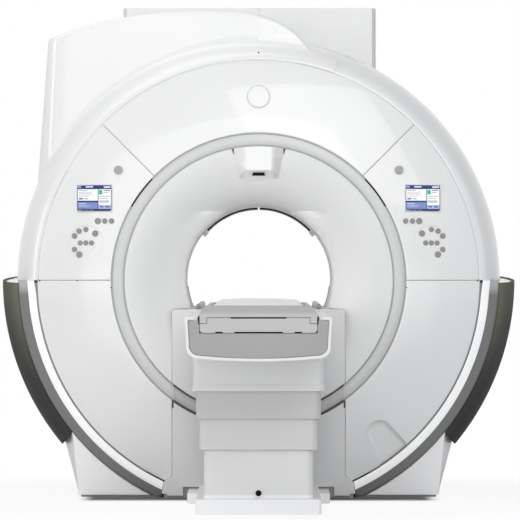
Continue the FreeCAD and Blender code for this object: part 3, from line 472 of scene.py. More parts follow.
# %% [markdown]
# ## The bell at the mouth of the bore
# The funnel round the patient opening is a quarter ellipse, turned about the bore. The docking
# column stands in front of its lower part, so there the bell simply stops: the cut follows the
# column's side while the bell is wide, and its top edge where the bell is narrow.

# %% Bell and bore
def quarter(edge, start_depth, throat, steps, out=0.0):
    """Section of a bell: edge - reach cos t and throat - length sin t, for t from 90 to 0 degrees."""
    turn = np.linspace(math.pi / 2, 0.0, steps)
    side = 1.0 if throat > start_depth else -1.0
    radius = edge - (edge - BORE - out) * np.cos(turn)
    depth = throat + side * out - (throat - start_depth) * np.sin(turn)
    return radius, depth


BELL_GAP = 1.5 * MM
FOOT_LEVELS = np.array([19, 71, 101]) * MM
FOOT_REACH = np.array([47, 39, 0]) * MM
column_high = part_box("column_cover")[1]
COLUMN_HALF = column_high[0] - FOOT_REACH[0]
COLUMN_TOP = column_high[2]


def bell_cut(radius):
    """Angle below the horizontal where the bell ends: acos(side / r) beside, asin(drop / r) above."""
    side, drop = COLUMN_HALF + BELL_GAP, AXIS - COLUMN_TOP - BELL_GAP
    corner = math.hypot(side, drop)
    beside = np.arccos(np.clip(side / radius, -1, 1))
    return np.where(radius > corner, beside, np.arcsin(drop / radius))


def bell_body():
    """Both skins of the bell on one set of angles, from cut to cut over the top."""
    radius, depth = quarter(BELL_EDGE, 0.0, THROAT, 60)
    back_radius, back_depth = quarter(BELL_EDGE, 0.0, THROAT, 60, WALL)
    cut = bell_cut(radius)[:, None]
    angle = -cut + (math.pi + 2 * cut) * np.linspace(0, 1, 260)[None, :]
    return shell(around(radius[:, None], angle, depth[:, None]),
                 around(back_radius[:, None], angle, back_depth[:, None]))


make("bell_lining", bell_body(), BELL_PAINT, "white_cover", stands_for=("front_flare",))


def turned_ring(radius, depth):
    """Closed ring: a closed section of radii and depths carried all the way round the bore."""
    angle = np.linspace(0, 2 * math.pi, 288, endpoint=False)
    return ring_of(around(np.asarray(radius)[:, None], angle[None, :], np.asarray(depth)[:, None]))


def bore_section():
    """Section of the bore liner: straight wall, rear bell, and the same path back outside."""
    inner_radius, inner_depth = quarter(REAR_BELL_EDGE, GANTRY_DEPTH, REAR_THROAT, 26)
    outer_radius, outer_depth = quarter(REAR_BELL_EDGE, GANTRY_DEPTH, REAR_THROAT, 26, WALL)
    start = THROAT + WALL + 0.5 * MM
    radius = np.concatenate([[BORE], inner_radius[::-1], outer_radius, [BORE + WALL]])
    depth = np.concatenate([[start], inner_depth[::-1], outer_depth, [start]])
    return radius, depth


make("bore_liner", turned_ring(*bore_section()), BELL_PAINT, "white_cover", stands_for=("bore_tube",))

# %% [markdown]
# ## The round band and its gaskets
# A pale grey band runs round the bell. It is set into two shallow grooves, and each groove is
# closed by a rubber gasket, so that nothing spilled can run inside. The band is a rectangle with
# eased corners, turned about the bore. Where band and gaskets cross the docking column they are
# darker, as painted shade under the table and in the column's channel. High on each side a black
# slot lets air out.

# %% Band, gaskets and slots
def eased_rectangle(inner, outer, near, far, ease):
    """Corners of a rectangle (radius, depth), each replaced by three points of a quarter round."""
    turn = np.array([0.0, math.pi / 4, math.pi / 2])
    rounds = []
    for radius, depth, start in ((outer - ease, near + ease, -1), (outer - ease, far - ease, 0),
                                 (inner + ease, far - ease, 1), (inner + ease, near + ease, 2)):
        bend = turn + start * math.pi / 2
        rounds.append(np.stack([radius + ease * np.cos(bend), depth + ease * np.sin(bend)]))
    return np.concatenate(rounds, axis=1)


def carried(section, angle):
    """A closed section of radii and depths carried through rows of angles, with both ends capped."""
    return tube_of(around(section[0][None, :], angle, section[1][None, :]))


def part_ring(section, start, end, steps):
    """A closed section carried from one angle to another."""
    return carried(section, np.linspace(start, end, steps)[:, None])


def fanned(section, low, top, steps):
    """A closed section carried from each point's own low angle to its own top angle."""
    return carried(section, low + (top - low) * np.linspace(0, 1, steps)[:, None])


CROSSING_HALF = 384 * MM
CROSSING_TOP = AXIS - 450 * MM


def band_finish():
    """Pale grey lacquer, with the table's shadow painted on the stretch that crosses the docking column."""
    bench = Bench("band_lacquer_painted_shadow")
    across, _, height = bench.parts(bench.spot())
    table_shadow_mask = (across * across < CROSSING_HALF ** 2) * (height < CROSSING_TOP)
    unshaded_band_tone = bench.between(bench.cloud(1.7, 2.0), (0.625, 0.63, 0.63), (0.60, 0.605, 0.605))
    return sprayed(bench, bench.between(table_shadow_mask, unshaded_band_tone, grey(0.47)), gloss=0.30)


BAND_INNER = BAND_OUTER - 48 * MM
GASKET_GAP = 0.3 * MM
GASKET_BACK = 12 * MM
band = turned_ring(*eased_rectangle(BAND_INNER, BAND_OUTER, 2 * MM, 30 * MM, 1.5 * MM))
make("round_band", band, band_finish(), "ring_band", stands_for=("light_ring",))
inner_gasket = turned_ring(*eased_rectangle(
    BELL_EDGE + GASKET_GAP, BAND_INNER - GASKET_GAP, 2.8 * MM, GASKET_BACK, MM))
outer_gasket = turned_ring(*eased_rectangle(
    BAND_OUTER + GASKET_GAP, BAND_OUTER + 6.5 * MM, 3.2 * MM, GASKET_BACK, MM))
make("band_gaskets", joined(inner_gasket, outer_gasket), RUBBER, "grey_trim")

# Painted shade: where they cross the column the gaskets are near black and wider, standing for the shadow
# in the column's channel.
crossing_gaskets_painted_shade = [part_ring(eased_rectangle(inner * MM, outer * MM, -0.5 * MM, GASKET_BACK, MM),
                              -math.pi + turn, -turn, 120)
                    for inner, outer, turn in ((604.8, 612.8, math.acos(CROSSING_HALF / 0.609)),
                                               (661.2, 672.5, math.acos(CROSSING_HALF / 0.667)))]
make("crossing_gaskets_painted_shade", joined(*crossing_gaskets_painted_shade), PAINTED_SHADE_GREY, "grey_trim")

SLOT = eased_rectangle(BAND_OUTER + 0.6 * MM, BAND_OUTER + 6.0 * MM, 1.5 * MM, 4.8 * MM, 0.5 * MM)
SLOT_ENDS = (math.radians(30.2), math.radians(43.6))
make("air_slots", both_sides(part_ring(SLOT, *SLOT_ENDS, 40)), BLACK, "grey_trim")

# %% [markdown]
# ## Panels with rolled edges
# The face is made of five panels. Each is a patch of one crowned surface, bounded by two radii and
# two seams. A seam keeps an even width, so its angle opens towards the middle by asin(gap / 2r).
# At every border the surface rolls back in a quarter round, which catches the light as a thin line.

# %% Rolled panels
PANEL_ROLL = 2.2 * MM
PANEL_WALL = 10 * MM


def rolled(length, roll, middle):
    """Distances from 0 to a length, close together over the rolled edge at both ends."""
    near = roll * (1 - np.cos(np.linspace(0, math.pi / 2, 5)))
    length = np.asarray(length)[..., None]
    inside = roll + (length - 2 * roll) * np.linspace(0, 1, middle)[1:-1]
    return np.concatenate([near + 0 * length, inside, length - near[::-1]], axis=-1)


def drop_at(distance, roll):
    """Depth of a quarter-round edge: roll - sqrt(roll^2 - (roll - distance)^2), and then nothing."""
    inside = np.clip(roll - distance, 0, roll)
    return roll - np.sqrt(roll ** 2 - inside ** 2)


def seam_at(degrees, side):
    """Angle of a seam's edge at each radius, half a gap to one side of a radial line."""
    return lambda radius: math.radians(degrees) + side * np.arcsin(SEAM / 2 / radius)


def column_side(gap):
    """Angle at which each radius meets the column's side, found by stepping the height to and fro."""
    def angle(radius):
        reach = np.full_like(radius, COLUMN_HALF + gap)
        for _ in range(8):
            height = AXIS - np.sqrt(radius ** 2 - reach ** 2)
            reach = COLUMN_HALF + np.interp(height, FOOT_LEVELS, FOOT_REACH) + gap
        return -np.arccos(reach / radius)
    return angle


def panel_body(inner, outer, start, end, cols=150):
    """Patch of the crowned face between two radii and two edges, its border rolled back."""
    radius = inner + rolled(outer - inner, PANEL_ROLL, 40)
    first, last = start(radius), end(radius)
    length = (last - first) * radius
    along = rolled(length, PANEL_ROLL, cols)
    radius = radius[:, None]
    angle = first[:, None] + along / radius
    across = np.minimum(radius - inner, outer - radius)
    nearest = np.minimum(np.minimum(along, length[:, None] - along), across)
    depth = face_depth(radius)
    return shell(around(radius, angle, depth + drop_at(nearest, PANEL_ROLL)),
                 around(radius, angle, depth + PANEL_WALL + 0 * angle))


PANEL_INNER = BAND_OUTER + 7 * MM
PANEL_OUTER = 997 * MM
LOWER_PANEL_OUTER = 1002 * MM
top_body = panel_body(PANEL_INNER, PANEL_OUTER, seam_at(45, 1), seam_at(135, -1))
make("top_cover", top_body, COVER, "white_cover", stands_for=("top_panel",))

# %% [markdown]
# ## Fillers behind the long seams
# A gap between two covers is never a bottomless black line. A soft filler lies a few millimetres
# down in it. Thin rings do this here: pale ones at the rim of the upper panels, and a darker one on
# each side between the lower panel and the bright strip.

# %% Seam fillers
def filler_ring(inner, outer, sunk, start, end):
    """Thin ring on the crowned face between two radii, sunk by a depth."""
    edge = np.array([inner, outer, outer, inner])
    return part_ring((edge, face_depth(edge) + np.array([sunk, sunk, sunk + 4 * MM, sunk + 4 * MM])),
                     math.radians(start), math.radians(end), 120)


RIM_SEAM = (996 * MM, 1001.5 * MM)
side_fillers = [filler_ring(*RIM_SEAM, 0.9 * MM, start, end) for start, end in ((0.3, 80), (150, 179.7))]
make("rim_filler", joined(*side_fillers), FILLER, "white_cover")
make("upper_rim_filler", filler_ring(*RIM_SEAM, 0.25 * MM, 80, 150), COVER, "white_cover")
low_filler = filler_ring(1001 * MM, 1021 * MM, 3.5 * MM, -60, -0.6)
make("strip_fillers", both_sides(low_filler), STRIP_FILLER, "grey_trim")

# %% [markdown]
# ## A local frame on the crowned face
# Keys, screens and the dial sit square to a face that is itself tilted. `facing` gives the point
# on the face and three directions there: across, up, and out of the surface. The tilt of the
# outward direction is asin(run / crown), the same as in the formula of the crowned face.

# %% Standing on the face
def spot_at(origin, out):
    """A point and its unit directions across, up and out, with across as near to X as can be."""
    across = np.array([1.0, 0, 0]) - out * out[0]
    across /= np.linalg.norm(across)
    return origin, across, np.cross(out, across), out


def facing(x, z):
    """Spot on the crowned face at (x, z)."""
    radius = math.hypot(x, z - AXIS)
    tilt = math.asin((radius - BELL_EDGE) / FACE_CROWN)
    out = np.array([x / radius * math.sin(tilt), -math.cos(tilt),
                    (z - AXIS) / radius * math.sin(tilt)])
    return spot_at(np.array([x, FRONT + float(face_depth(radius)), z]), out)


def on_the_face(spot, local):
    """Points given as (across, up, out) from a spot on the face, as points of the machine."""
    origin, across, up, out = spot
    return origin + local[..., 0:1] * across + local[..., 1:2] * up + local[..., 2:3] * out


def lathed(spot, radius, height, steps):
    """Round body on the face: a section of radii and heights turned about the outward direction."""
    turn = np.linspace(0, 2 * math.pi, steps, endpoint=False)[None, :]
    radius, height = np.asarray(radius)[:, None], np.asarray(height)[:, None]
    local = np.stack(np.broadcast_arrays(radius * np.cos(turn), radius * np.sin(turn), height), axis=-1)
    return tube_of(on_the_face(spot, local))


# %% [markdown]
# ## A raised disc on the top cover
# A round disc with a fine groove round it sits high on the middle of the top cover. It is a lathe
# job: radii and heights are turned about the outward direction. It is domed by half a millimetre.

# %% Raised disc
DISC_HEIGHT = AXIS + 831 * MM
disc_spot = facing(0.0, DISC_HEIGHT)
DISC_RADII = np.array([50, 50, 49.4, 48, 46, 45.4, 44.8, 30, 12, 0.4]) * MM
DISC_RISE = np.array([-2, 1.6, 2.4, 2.7, 2.6, 2.0, 2.5, 2.9, 3.0, 3.0]) * MM
GROOVE_RADII = np.array([52.2, 52.2, 50.2, 50.0]) * MM
GROOVE_RISE = np.array([-2, 0.35, 0.35, -2]) * MM
make("raised_disc", lathed(disc_spot, DISC_RADII, DISC_RISE, 72), COVER, "white_cover")
make("disc_gasket", lathed(disc_spot, GROOVE_RADII, GROOVE_RISE, 72), RUBBER, "grey_trim")

# %% [markdown]
# ## Console panels, cut for their controls
# Beside the bore each console has a screen, a dial-shaped keypad and thirteen round keys. The keys
# pass through real holes, so the panel is cut with a Boolean: one cutter for the shallow dish of
# the dial, and one for the window and the keys. The keys' places come from the solids themselves.

# %% Where the controls are
DISPLAY_AT = (-743 * MM, 1356 * MM)
DISPLAY_SIZE = (161 * MM, 122 * MM)
DIAL_AT = (-779 * MM, 1156 * MM)
KEY_HALF_LENGTH = 8.7 * MM
STOP_HALF_LENGTH = 12 * MM
inward = {joint["child"]: np.array(joint["axis"]) for joint in frame["joints"]
          if joint["name"].endswith("_press")}


def key_spot(node):
    """A key's top, its frame on the face, and its radius, from its solid's box and its joint's axis."""
    low, high = (np.array(corner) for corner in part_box(node))
    out = -inward[node + "_body"] / np.linalg.norm(inward[node + "_body"])
    half_length = STOP_HALF_LENGTH if "stop" in node else KEY_HALF_LENGTH
    spot = spot_at((low + high) / 2 + out * half_length, out)
    radius = ((high - low)[2] / 2 - half_length * abs(out[2])) / math.sqrt(1 - out[2] ** 2)
    return spot, radius


def on_console(side, place_left):
    """Spot of a control on either console, from its place on the left one."""
    x, z = place_left
    return facing(x if side == "left" else -x, z)


KEY_NODES = [name for name in frame["nodes"] if "_key_" in name or "stop_button" in name]
print(len(KEY_NODES), "keys found on the two consoles")


# %% Cutting the panels
def carved(name, body, *cutters):
    """Mesh of a body with each cutter taken away, by Blender's exact Boolean."""
    piece = bpy.data.objects.new(name, mesh_from(name, body))
    bpy.context.scene.collection.objects.link(piece)
    tools = []
    for number, cutter in enumerate(cutters):
        tool = bpy.data.objects.new("cutter", mesh_from("cutter", cutter))
        bpy.context.scene.collection.objects.link(tool)
        cut = piece.modifiers.new("cut_%d" % number, "BOOLEAN")
        cut.operation, cut.solver, cut.object = "DIFFERENCE", "EXACT", tool
        tools.append(tool)
    solid = piece.evaluated_get(bpy.context.evaluated_depsgraph_get())
    mesh = bpy.data.meshes.new_from_object(solid)
    for spare in [piece] + tools:
        bpy.data.objects.remove(spare)
    mesh.name = name
    smooth_but_creased(mesh, 28)
    return mesh


def box_on_face(spot, wide, high, low, top):
    """Square-cornered block on the face, between two heights over it."""
    across, up = np.array([-1, 1, 1, -1]) * wide / 2, np.array([-1, -1, 1, 1]) * high / 2
    levels = [np.stack([across, up, np.full(4, level)], axis=-1) for level in (low, top)]
    return tube_of(on_the_face(spot, np.stack(levels)))


DISH_RADII = np.array([0.3, 40, 42.0, 44, 77.5, 81, 81, 0.3]) * MM
DISH_LEVELS = np.array([-1.6, -1.6, -2.9, -3.0, -3.0, 0.2, 20, 20]) * MM


def console(side):
    """Console panel of one side: the patch of face, its dish, then its window and key holes."""
    edges = (seam_at(135, 1), seam_at(180, -1)) if side == "left" else (seam_at(0, 1), seam_at(45, -1))
    body = panel_body(PANEL_INNER, PANEL_OUTER, *edges, cols=90)
    dish = lathed(on_console(side, DIAL_AT), DISH_RADII, DISH_LEVELS, 96)
    window = box_on_face(on_console(side, DISPLAY_AT), *(length + 1.4 * MM for length in DISPLAY_SIZE),
                         -30 * MM, 30 * MM)
    holes = [window]
    for node in KEY_NODES:
        if node.startswith(side):
            spot, radius = key_spot(node)
            hole = radius + 0.6 * MM
            holes.append(lathed(spot, np.array([hole, hole]), np.array([-40, 20]) * MM, 40))
    return carved(side + "_console", body, dish, joined(*holes))


for side in ("left", "right"):
    place(side + "_console", console(side), COVER, "white_cover",
          stands_for=("console_panel_" + side,))

# %% [markdown]
# ## Lower panels and the hand grip
# The lower panels are bounded by the column's side. The right one has a scooped grip by which the
# cover is lifted off: a hoof-shaped opening towards the rim, with a wall that slopes down to a flat
# floor. The opening is cut through, and a moulded cup with its own wall sits behind it.

# %% Grip cup
def bowed(a, b, c, steps):
    """Gentle curve through three points: the parabola that passes them at 0, a half and 1."""
    t = np.linspace(0, 1, steps)[:, None]
    a, b, c = (np.array(point, dtype=float) for point in (a, b, c))
    return a * (1 - t) * (1 - 2 * t) + b * 4 * t * (1 - t) + c * t * (2 * t - 1)


def hoof(inset):
    """Outline of the grip as (x, z), drawn in by an inset: two straight sides and a bowed brow."""
    brow_left, brow_right = (482 + inset, 300 - 0.4 * inset), (588 - 0.8 * inset, 340 - inset)
    rim_high, rim_low = (682 - 0.9 * inset, 236 - 0.2 * inset), (553 + 0.5 * inset, 142 + 0.3 * inset)
    sides = [bowed(brow_left, (505 + inset, 340 - inset), (545, 353 - inset), 14)[:-1],
             bowed((545, 353 - inset), (568 - 0.3 * inset, 352 - inset), brow_right, 8)[:-1],
             bowed(brow_right, ((588 + 682) / 2 - 0.85 * inset, 288 - 0.6 * inset), rim_high, 10)[:-1],
             bowed(rim_high, (622 - 0.2 * inset, 184 + 0.3 * inset), rim_low, 12)[:-1],
             bowed(rim_low, (517 + 0.75 * inset, 221), brow_left, 12)[:-1]]
    return np.concatenate(sides) * MM


def hoof_ring(inset, depth):
    """The grip's outline as points at a depth below the crowned face."""
    outline = hoof(inset)
    radius = np.hypot(outline[:, 0], outline[:, 1] - AXIS)
    y = FRONT + face_depth(radius) + depth
    return np.stack([outline[:, 0], y, outline[:, 1]], axis=-1)


def grip_cup():
    """Cup behind the opening: lip, sloping wall, rounded foot and a flat floor, then back outside."""
    levels = ((0.0, 0.6), (1.5, 1.6), (9, 12), (13, 16.5), (17, 18.5), (24, 19.0))
    inside = [hoof_ring(inset, depth * MM) for inset, depth in levels]
    outside = [hoof_ring(inset, depth * MM) for inset, depth in ((24, 22.0), (12, 21.0), (0.0, 9.0))]
    return tube_cup(np.stack(inside), np.stack(outside))


def tube_cup(inside, outside):
    """Closed cup from two stacks of outlines: the inside runs down, the outside comes back up."""
    rings = np.concatenate([inside, outside])
    rows, cols = rings.shape[:2]
    index = np.arange(rows * cols).reshape(rows, cols)
    walls_in = squares(len(inside), cols, round_cols=True)
    walls_out = squares(len(outside), cols, round_cols=True) + len(inside) * cols
    rim = np.stack([index[-1], np.roll(index[-1], -1), np.roll(index[0], -1), index[0]], axis=-1)
    floors = [index[len(inside) - 1][None, :], index[len(inside)][None, ::-1]]
    return rings.reshape(-1, 3), [walls_in, walls_out, rim] + floors


lower_body = panel_body(PANEL_INNER, LOWER_PANEL_OUTER, column_side(SEAM), seam_at(0, -1), cols=120)
opening = tube_of(np.stack([hoof_ring(0.0, -30 * MM), hoof_ring(0.0, 40 * MM)]))
place("right_lower_cover", carved("right_lower_cover", lower_body, opening), COVER, "white_cover",
      stands_for=("lower_panel_right",))
make("left_lower_cover", mirrored(lower_body), COVER, "white_cover", stands_for=("lower_panel_left",))
make("grip_cup", grip_cup(), COVER, "white_cover", crease=50)

# %% [markdown]
# ## The pale strip and the grey trim
# Round the lower half runs a bright strip, and outside it a grey trim whose edge rolls over. Both
# are closed sections carried along an arc. They end at the top on a nearly level plane, so the end
# angle of each point is asin(height / r), and at the foot they stop beside the column.

# %% Sections carried to a level end
TOP_FRONT = 971 * MM
TOP_SLOPE = 0.026
TRIM_OUTER = 1089 * MM
TRIM_END = math.radians(-66)
FLOOR_GAP = 10 * MM
DRAW_OUT = 8 * MM
STRIP_INNER, STRIP_OUTER = 1010 * MM, 1046 * MM
LAST_TURN = math.radians(5)


def level_end(radius, depth, lift):
    """Angle at which a point of a section reaches the sloping top plane: asin(height over axis / r)."""
    return np.arcsin((TOP_FRONT + lift + TOP_SLOPE * depth - AXIS) / radius)


def side_sweep(section, start, lift, steps=160):
    """Right-hand body: a section carried from each radius's own start up to the sloping top plane."""
    return fanned(section, start(section[0]), level_end(*section, lift), steps)


def by_the_column(radius):
    """They stop at the column's foot, at their own end, or above the floor, whichever comes first."""
    floor = -np.arcsin((AXIS - FLOOR_GAP) / np.maximum(radius, AXIS))
    return np.maximum(np.maximum(column_side(3 * MM)(radius), TRIM_END), floor)


def face_section(inner, outer, thick, ease, crown):
    """Section of a strip on the crowned face, eased at both front edges and lightly crowned."""
    share = np.linspace(0, 1, 15)
    radius = inner + ease + (outer - inner - 2 * ease) * share
    depth = face_depth(radius) - crown * 4 * share * (1 - share)
    turn = np.linspace(math.pi, math.pi / 2, 4)[:-1]
    left = (inner + ease + ease * np.cos(turn), depth[0] + ease - ease * np.sin(turn))
    right = (outer - ease - ease * np.cos(turn[::-1]), depth[-1] + ease - ease * np.sin(turn[::-1]))
    return (np.concatenate([left[0], radius, right[0], [outer, inner]]),
            np.concatenate([left[1], depth, right[1], [depth[-1] + thick, depth[0] + thick]]))


def diffuser():
    """Milky strip: near white, with the faint round pores of a diffuser and a glow that is partly painted
    light, keeping the strip white where lamps reach it less.
    """
    bench = Bench("strip_diffuser")
    pores = bench.add("ShaderNodeTexVoronoi", {"feature": "F1"},
                      {"Vector": bench.spot(), "Scale": 90.0})
    pit = 1 - pores.eased(0.15, 0.42)
    colour = bench.between(pit * 0.6, (0.66, 0.664, 0.67), (0.60, 0.605, 0.62))
    # Partly painted light: the glow keeps the strip white low down.
    return bench.finished(Base_Color=colour, Roughness=pit * 0.2 + 0.3, Emission_Color=colour,
                          Emission_Strength=0.55, Normal=bench.raised(1 - pit, 0.2 * MM))


def drawn_out(body):
    """Moves points outward near the level end by DRAW_OUT s^2, s rising over the last 5 degrees.

    The share falls from all of that at the inner edge to nothing at the trim's outer edge."""
    points, faces = body
    radius = np.hypot(points[:, 0], points[:, 2] - AXIS)
    angle = np.arctan2(points[:, 2] - AXIS, points[:, 0])
    near_end = np.clip((angle + LAST_TURN) / LAST_TURN, 0, 1) ** 2
    share = np.clip((TRIM_OUTER - radius) / (TRIM_OUTER - STRIP_INNER), 0, 1)
    moved = points.copy()
    moved[:, [0, 2]] += (DRAW_OUT * near_end * share / radius)[:, None] * (
        points[:, [0, 2]] - np.array([0.0, AXIS]))
    return moved, faces


LEVEL_LIFT = 12 * MM
STRIP_SECTION = face_section(STRIP_INNER, STRIP_OUTER, 22 * MM, 3 * MM, 1.5 * MM)
strip = drawn_out(side_sweep(STRIP_SECTION, by_the_column, LEVEL_LIFT))
make("pale_strips", both_sides(strip), diffuser(), "pale_strip", stands_for=("light_strip",))


def trim_section():
    """Section of the trim: crowned face, a quarter round of the roll's radius, and the hidden back."""
    inner, roll = STRIP_OUTER + MM, 16 * MM
    radius = np.linspace(inner + 2 * MM, TRIM_OUTER - roll, 10)
    turn = np.linspace(math.pi / 2, 0, 10)[1:]
    edge = face_depth(TRIM_OUTER - roll)
    rounded = (TRIM_OUTER - roll + roll * np.cos(turn), edge + roll - roll * np.sin(turn))
    radii = np.concatenate([[inner], radius, rounded[0], [TRIM_OUTER, inner]])
    depths = np.concatenate([[face_depth(inner) + 2 * MM], face_depth(radius), rounded[1],
                             [edge + 28 * MM, edge + 40 * MM]])
    return radii, depths


trim = drawn_out(side_sweep(trim_section(), by_the_column, LEVEL_LIFT))
make("edge_trims", both_sides(trim), TRIM, "grey_trim", stands_for=("edge_trim",))

# %% [markdown]
# ## Swept side wings
# Each wing grows out of the trim, swells to its widest point a third of the way back and closes on
# the barrel again. Its section is two quarter ellipses. The wing's top is open, like a trough, and
# a white cap lies a few millimetres down inside the dark rim.

# %% Wings
WING_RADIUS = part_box("wing_right")[1][0]
BARREL_LOW = math.radians(-40)
FOOT_AT = (850 * MM, 294 * MM)
FOOT_SLOPE = 1.16
RIM_WALL = 14 * MM
BARREL = 1111 * MM
SHOULDER = 380 * MM
SWELL_DEPTH = 600 * MM
WING_BACK = 1180 * MM
FOOT_TURN = 0.008
CAP_LIFTS = (-22 * MM, -4 * MM)


def wing_curve(draw_in, steps=28):
    """Two quarter ellipses: out along sin t from the trim, then back along cos t to the barrel."""
    turn = np.linspace(0, math.pi / 2, steps)
    front = float(face_depth(TRIM_OUTER)) + 28 * MM
    swell, start, heel = WING_RADIUS - draw_in, TRIM_OUTER + 2 * MM, BARREL + 4 * MM
    nose = (start + (swell - start) * np.sin(turn),
            SWELL_DEPTH - (SWELL_DEPTH - front - draw_in) * np.cos(turn))
    tail = (heel + (swell - heel) * np.cos(turn),
            SWELL_DEPTH + (WING_BACK - SWELL_DEPTH - draw_in) * np.sin(turn))
    return (np.concatenate([nose[0], tail[0][1:]]), np.concatenate([nose[1], tail[1][1:]]))


def wing_low(radius):
    """Angle a at which each radius meets the slanting foot line: r (sin a + m cos a) = a constant."""
    level = FOOT_AT[1] + FOOT_SLOPE * FOOT_AT[0] - AXIS
    return np.arcsin(level / (radius * math.hypot(1, FOOT_SLOPE))) - math.atan(FOOT_SLOPE)


def wing_bodies():
    """The dark skin, its closed foot, and the white cap that fills its top."""
    outer, inner = wing_curve(0.0), wing_curve(RIM_WALL)
    skin = tuple(np.concatenate([out, back[::-1]]) for out, back in zip(outer, inner))
    base_radius = [BARREL + 2 * MM, BARREL + 2 * MM, TRIM_OUTER - 4 * MM]
    base_depth = [WING_BACK - RIM_WALL, SHOULDER, inner[1][0]]
    solid = (np.concatenate([inner[0] - 0.3 * MM, base_radius]), np.concatenate([inner[1], base_depth]))
    dark = side_sweep(skin, wing_low, 0.0, 120)
    foot = carried(solid, np.stack([wing_low(solid[0]), wing_low(solid[0]) + FOOT_TURN]))
    cap = carried(solid, np.stack([level_end(*solid, lift) for lift in CAP_LIFTS]))
    return joined(dark, foot), cap


wing_skin, wing_cap = wing_bodies()
for side, hand in (("right", lambda body: body), ("left", mirrored)):
    make(side + "_wing_skin", hand(wing_skin), WING, "dark_wing", stands_for=("wing_" + side,))
    make(side + "_wing_cap", hand(wing_cap), COVER, "white_cover")

# %% [markdown]
# ## The barrel
# The enclosure is a barrel with a rounded rim in front and a rounded edge behind, each a quarter
# ellipse. It comes in two halves that meet over the top. Below the bore's axis the rim makes room
# for the strip and trim, so there the section starts further back.

# %% Barrel halves
RIM = 1000 * MM
REAR_EDGE = 1002 * MM


def rim_curve(draw_in, steps=30):
    """Quarter ellipse from the face to the barrel: radius along sin t, depth along cos t."""
    turn = np.linspace(0, math.pi / 2, steps)
    front = float(face_depth(RIM)) + 0.9 * draw_in
    return (RIM + (BARREL - draw_in - RIM) * np.sin(turn), SHOULDER + (front - SHOULDER) * np.cos(turn))


def rear_curve(draw_in, steps=20):
    """The same at the back edge."""
    turn = np.linspace(math.pi / 2, 0, steps)
    rear = GANTRY_DEPTH - 4 * MM - 0.9 * draw_in
    return (REAR_EDGE + (BARREL - draw_in - REAR_EDGE) * np.sin(turn),
            REAR_THROAT + (rear - REAR_THROAT) * np.cos(turn))


def wall_section(cut_depth=0.0):
    """Closed section of the barrel's wall: outer skin front to back, inner skin back again."""
    radii, depths = [], []
    for draw_in, order in ((0.0, 1), (WALL, -1)):
        rim, rear = rim_curve(draw_in), rear_curve(draw_in)
        radius = np.concatenate([rim[0], rear[0]])
        depth = np.concatenate([rim[1], rear[1]])
        if cut_depth:
            radius = np.concatenate([[np.interp(cut_depth, depth, radius)], radius[depth > cut_depth]])
            depth = np.concatenate([[cut_depth], depth[depth > cut_depth]])
        radii.append(radius[::order])
        depths.append(depth[::order])
    return np.concatenate(radii), np.concatenate(depths)


def barrel_half():
    """Right half: the full section from the top seam down, then the short one beside the wing."""
    full = wall_section()
    top = math.pi / 2 - np.arcsin(SEAM / 2 / full[0])
    upper = fanned(full, level_end(*full, 13 * MM), top, 120)
    short = wall_section(float(face_depth(TRIM_OUTER)) + 34 * MM)
    return joined(upper, fanned(short, BARREL_LOW, level_end(*short, 12.6 * MM), 60))


half = barrel_half()
make("right_enclosure", half, COVER, "white_cover", stands_for=("enclosure_right",))
make("left_enclosure", mirrored(half), COVER, "white_cover", stands_for=("enclosure_left",))

# %% [markdown]
# ## The hood over the left shoulder
# A tall hood rises on the left and runs down into the rim on the right. Seen from the bore's axis,
# its outline is one distance for each angle, so the hood is worked out ray by ray. Near the rim its
# front melts into the rim: the depth is a smooth minimum of the rim's depth and of a leaning plane.

# %% Hood outline
HOOD_REAR = 1500 * MM
HOOD_POINTS = np.concatenate([
    bowed((-1018, 1362), (-990, 1725), (-964, 2070), 50),
    bowed((-964, 2070), (-958, 2086), (-940, 2094), 8)[1:],
    bowed((-940, 2094), (-617, 2184), (-228, 2213), 60)[1:],
    bowed((-228, 2213), (-110, 2209), (2, 2192), 24)[1:],
    bowed((2, 2192), (134, 2136), (233, 2039), 30)[1:],
    bowed((233, 2039), (296, 2010), (360, 1985), 10)[1:]]) * MM
HOOD_FOOT = 900 * MM
HOOD_INNER_DEPTH = 260 * MM
HOOD_ROLL = 16 * MM
HOOD_FRONT = 104 * MM
HOOD_LEAN = 0.0977
HOOD_LEAN_RIGHT = 0.0154
HOOD_CORNER = (-935 * MM, 2070 * MM)
CORNER_SLANT = 0.05
CHEEK_FOLD = 1.15
MELT = 34 * MM
PROUD = 0.6 * MM
hood_angle = np.arctan2(HOOD_POINTS[:, 1] - AXIS, HOOD_POINTS[:, 0])
hood_reach = np.hypot(HOOD_POINTS[:, 0], HOOD_POINTS[:, 1] - AXIS)


def rim_depth(radius):
    """Depth of the rim at a radius, from its quarter ellipse; behind everything past the barrel."""
    share = np.clip((radius - RIM) / (BARREL - RIM), 0, 1)
    return SHOULDER + (float(face_depth(RIM)) - SHOULDER) * np.sqrt(1 - share ** 2)


def leaning(x, z):
    """Depth of the hood's front: a plane that leans back to the left, then a folded cheek."""
    front = HOOD_FRONT + np.where(x < 0, -x * HOOD_LEAN, -x * HOOD_LEAN_RIGHT)
    corner = HOOD_CORNER[0] + CORNER_SLANT * (z - HOOD_CORNER[1])
    cheek = HOOD_FRONT - HOOD_LEAN * corner + (corner - x) * CHEEK_FOLD
    return smooth_larger(front, cheek, 14 * MM)


def smooth_larger(a, b, soft):
    """Smooth maximum: the larger value, rounded over a distance where the two are close."""
    return (a + b + np.sqrt((a - b) ** 2 + soft ** 2)) / 2


def smooth_smaller(a, b, soft):
    """Smooth minimum, the mirror of the smooth maximum."""
    return -smooth_larger(-a, -b, soft)


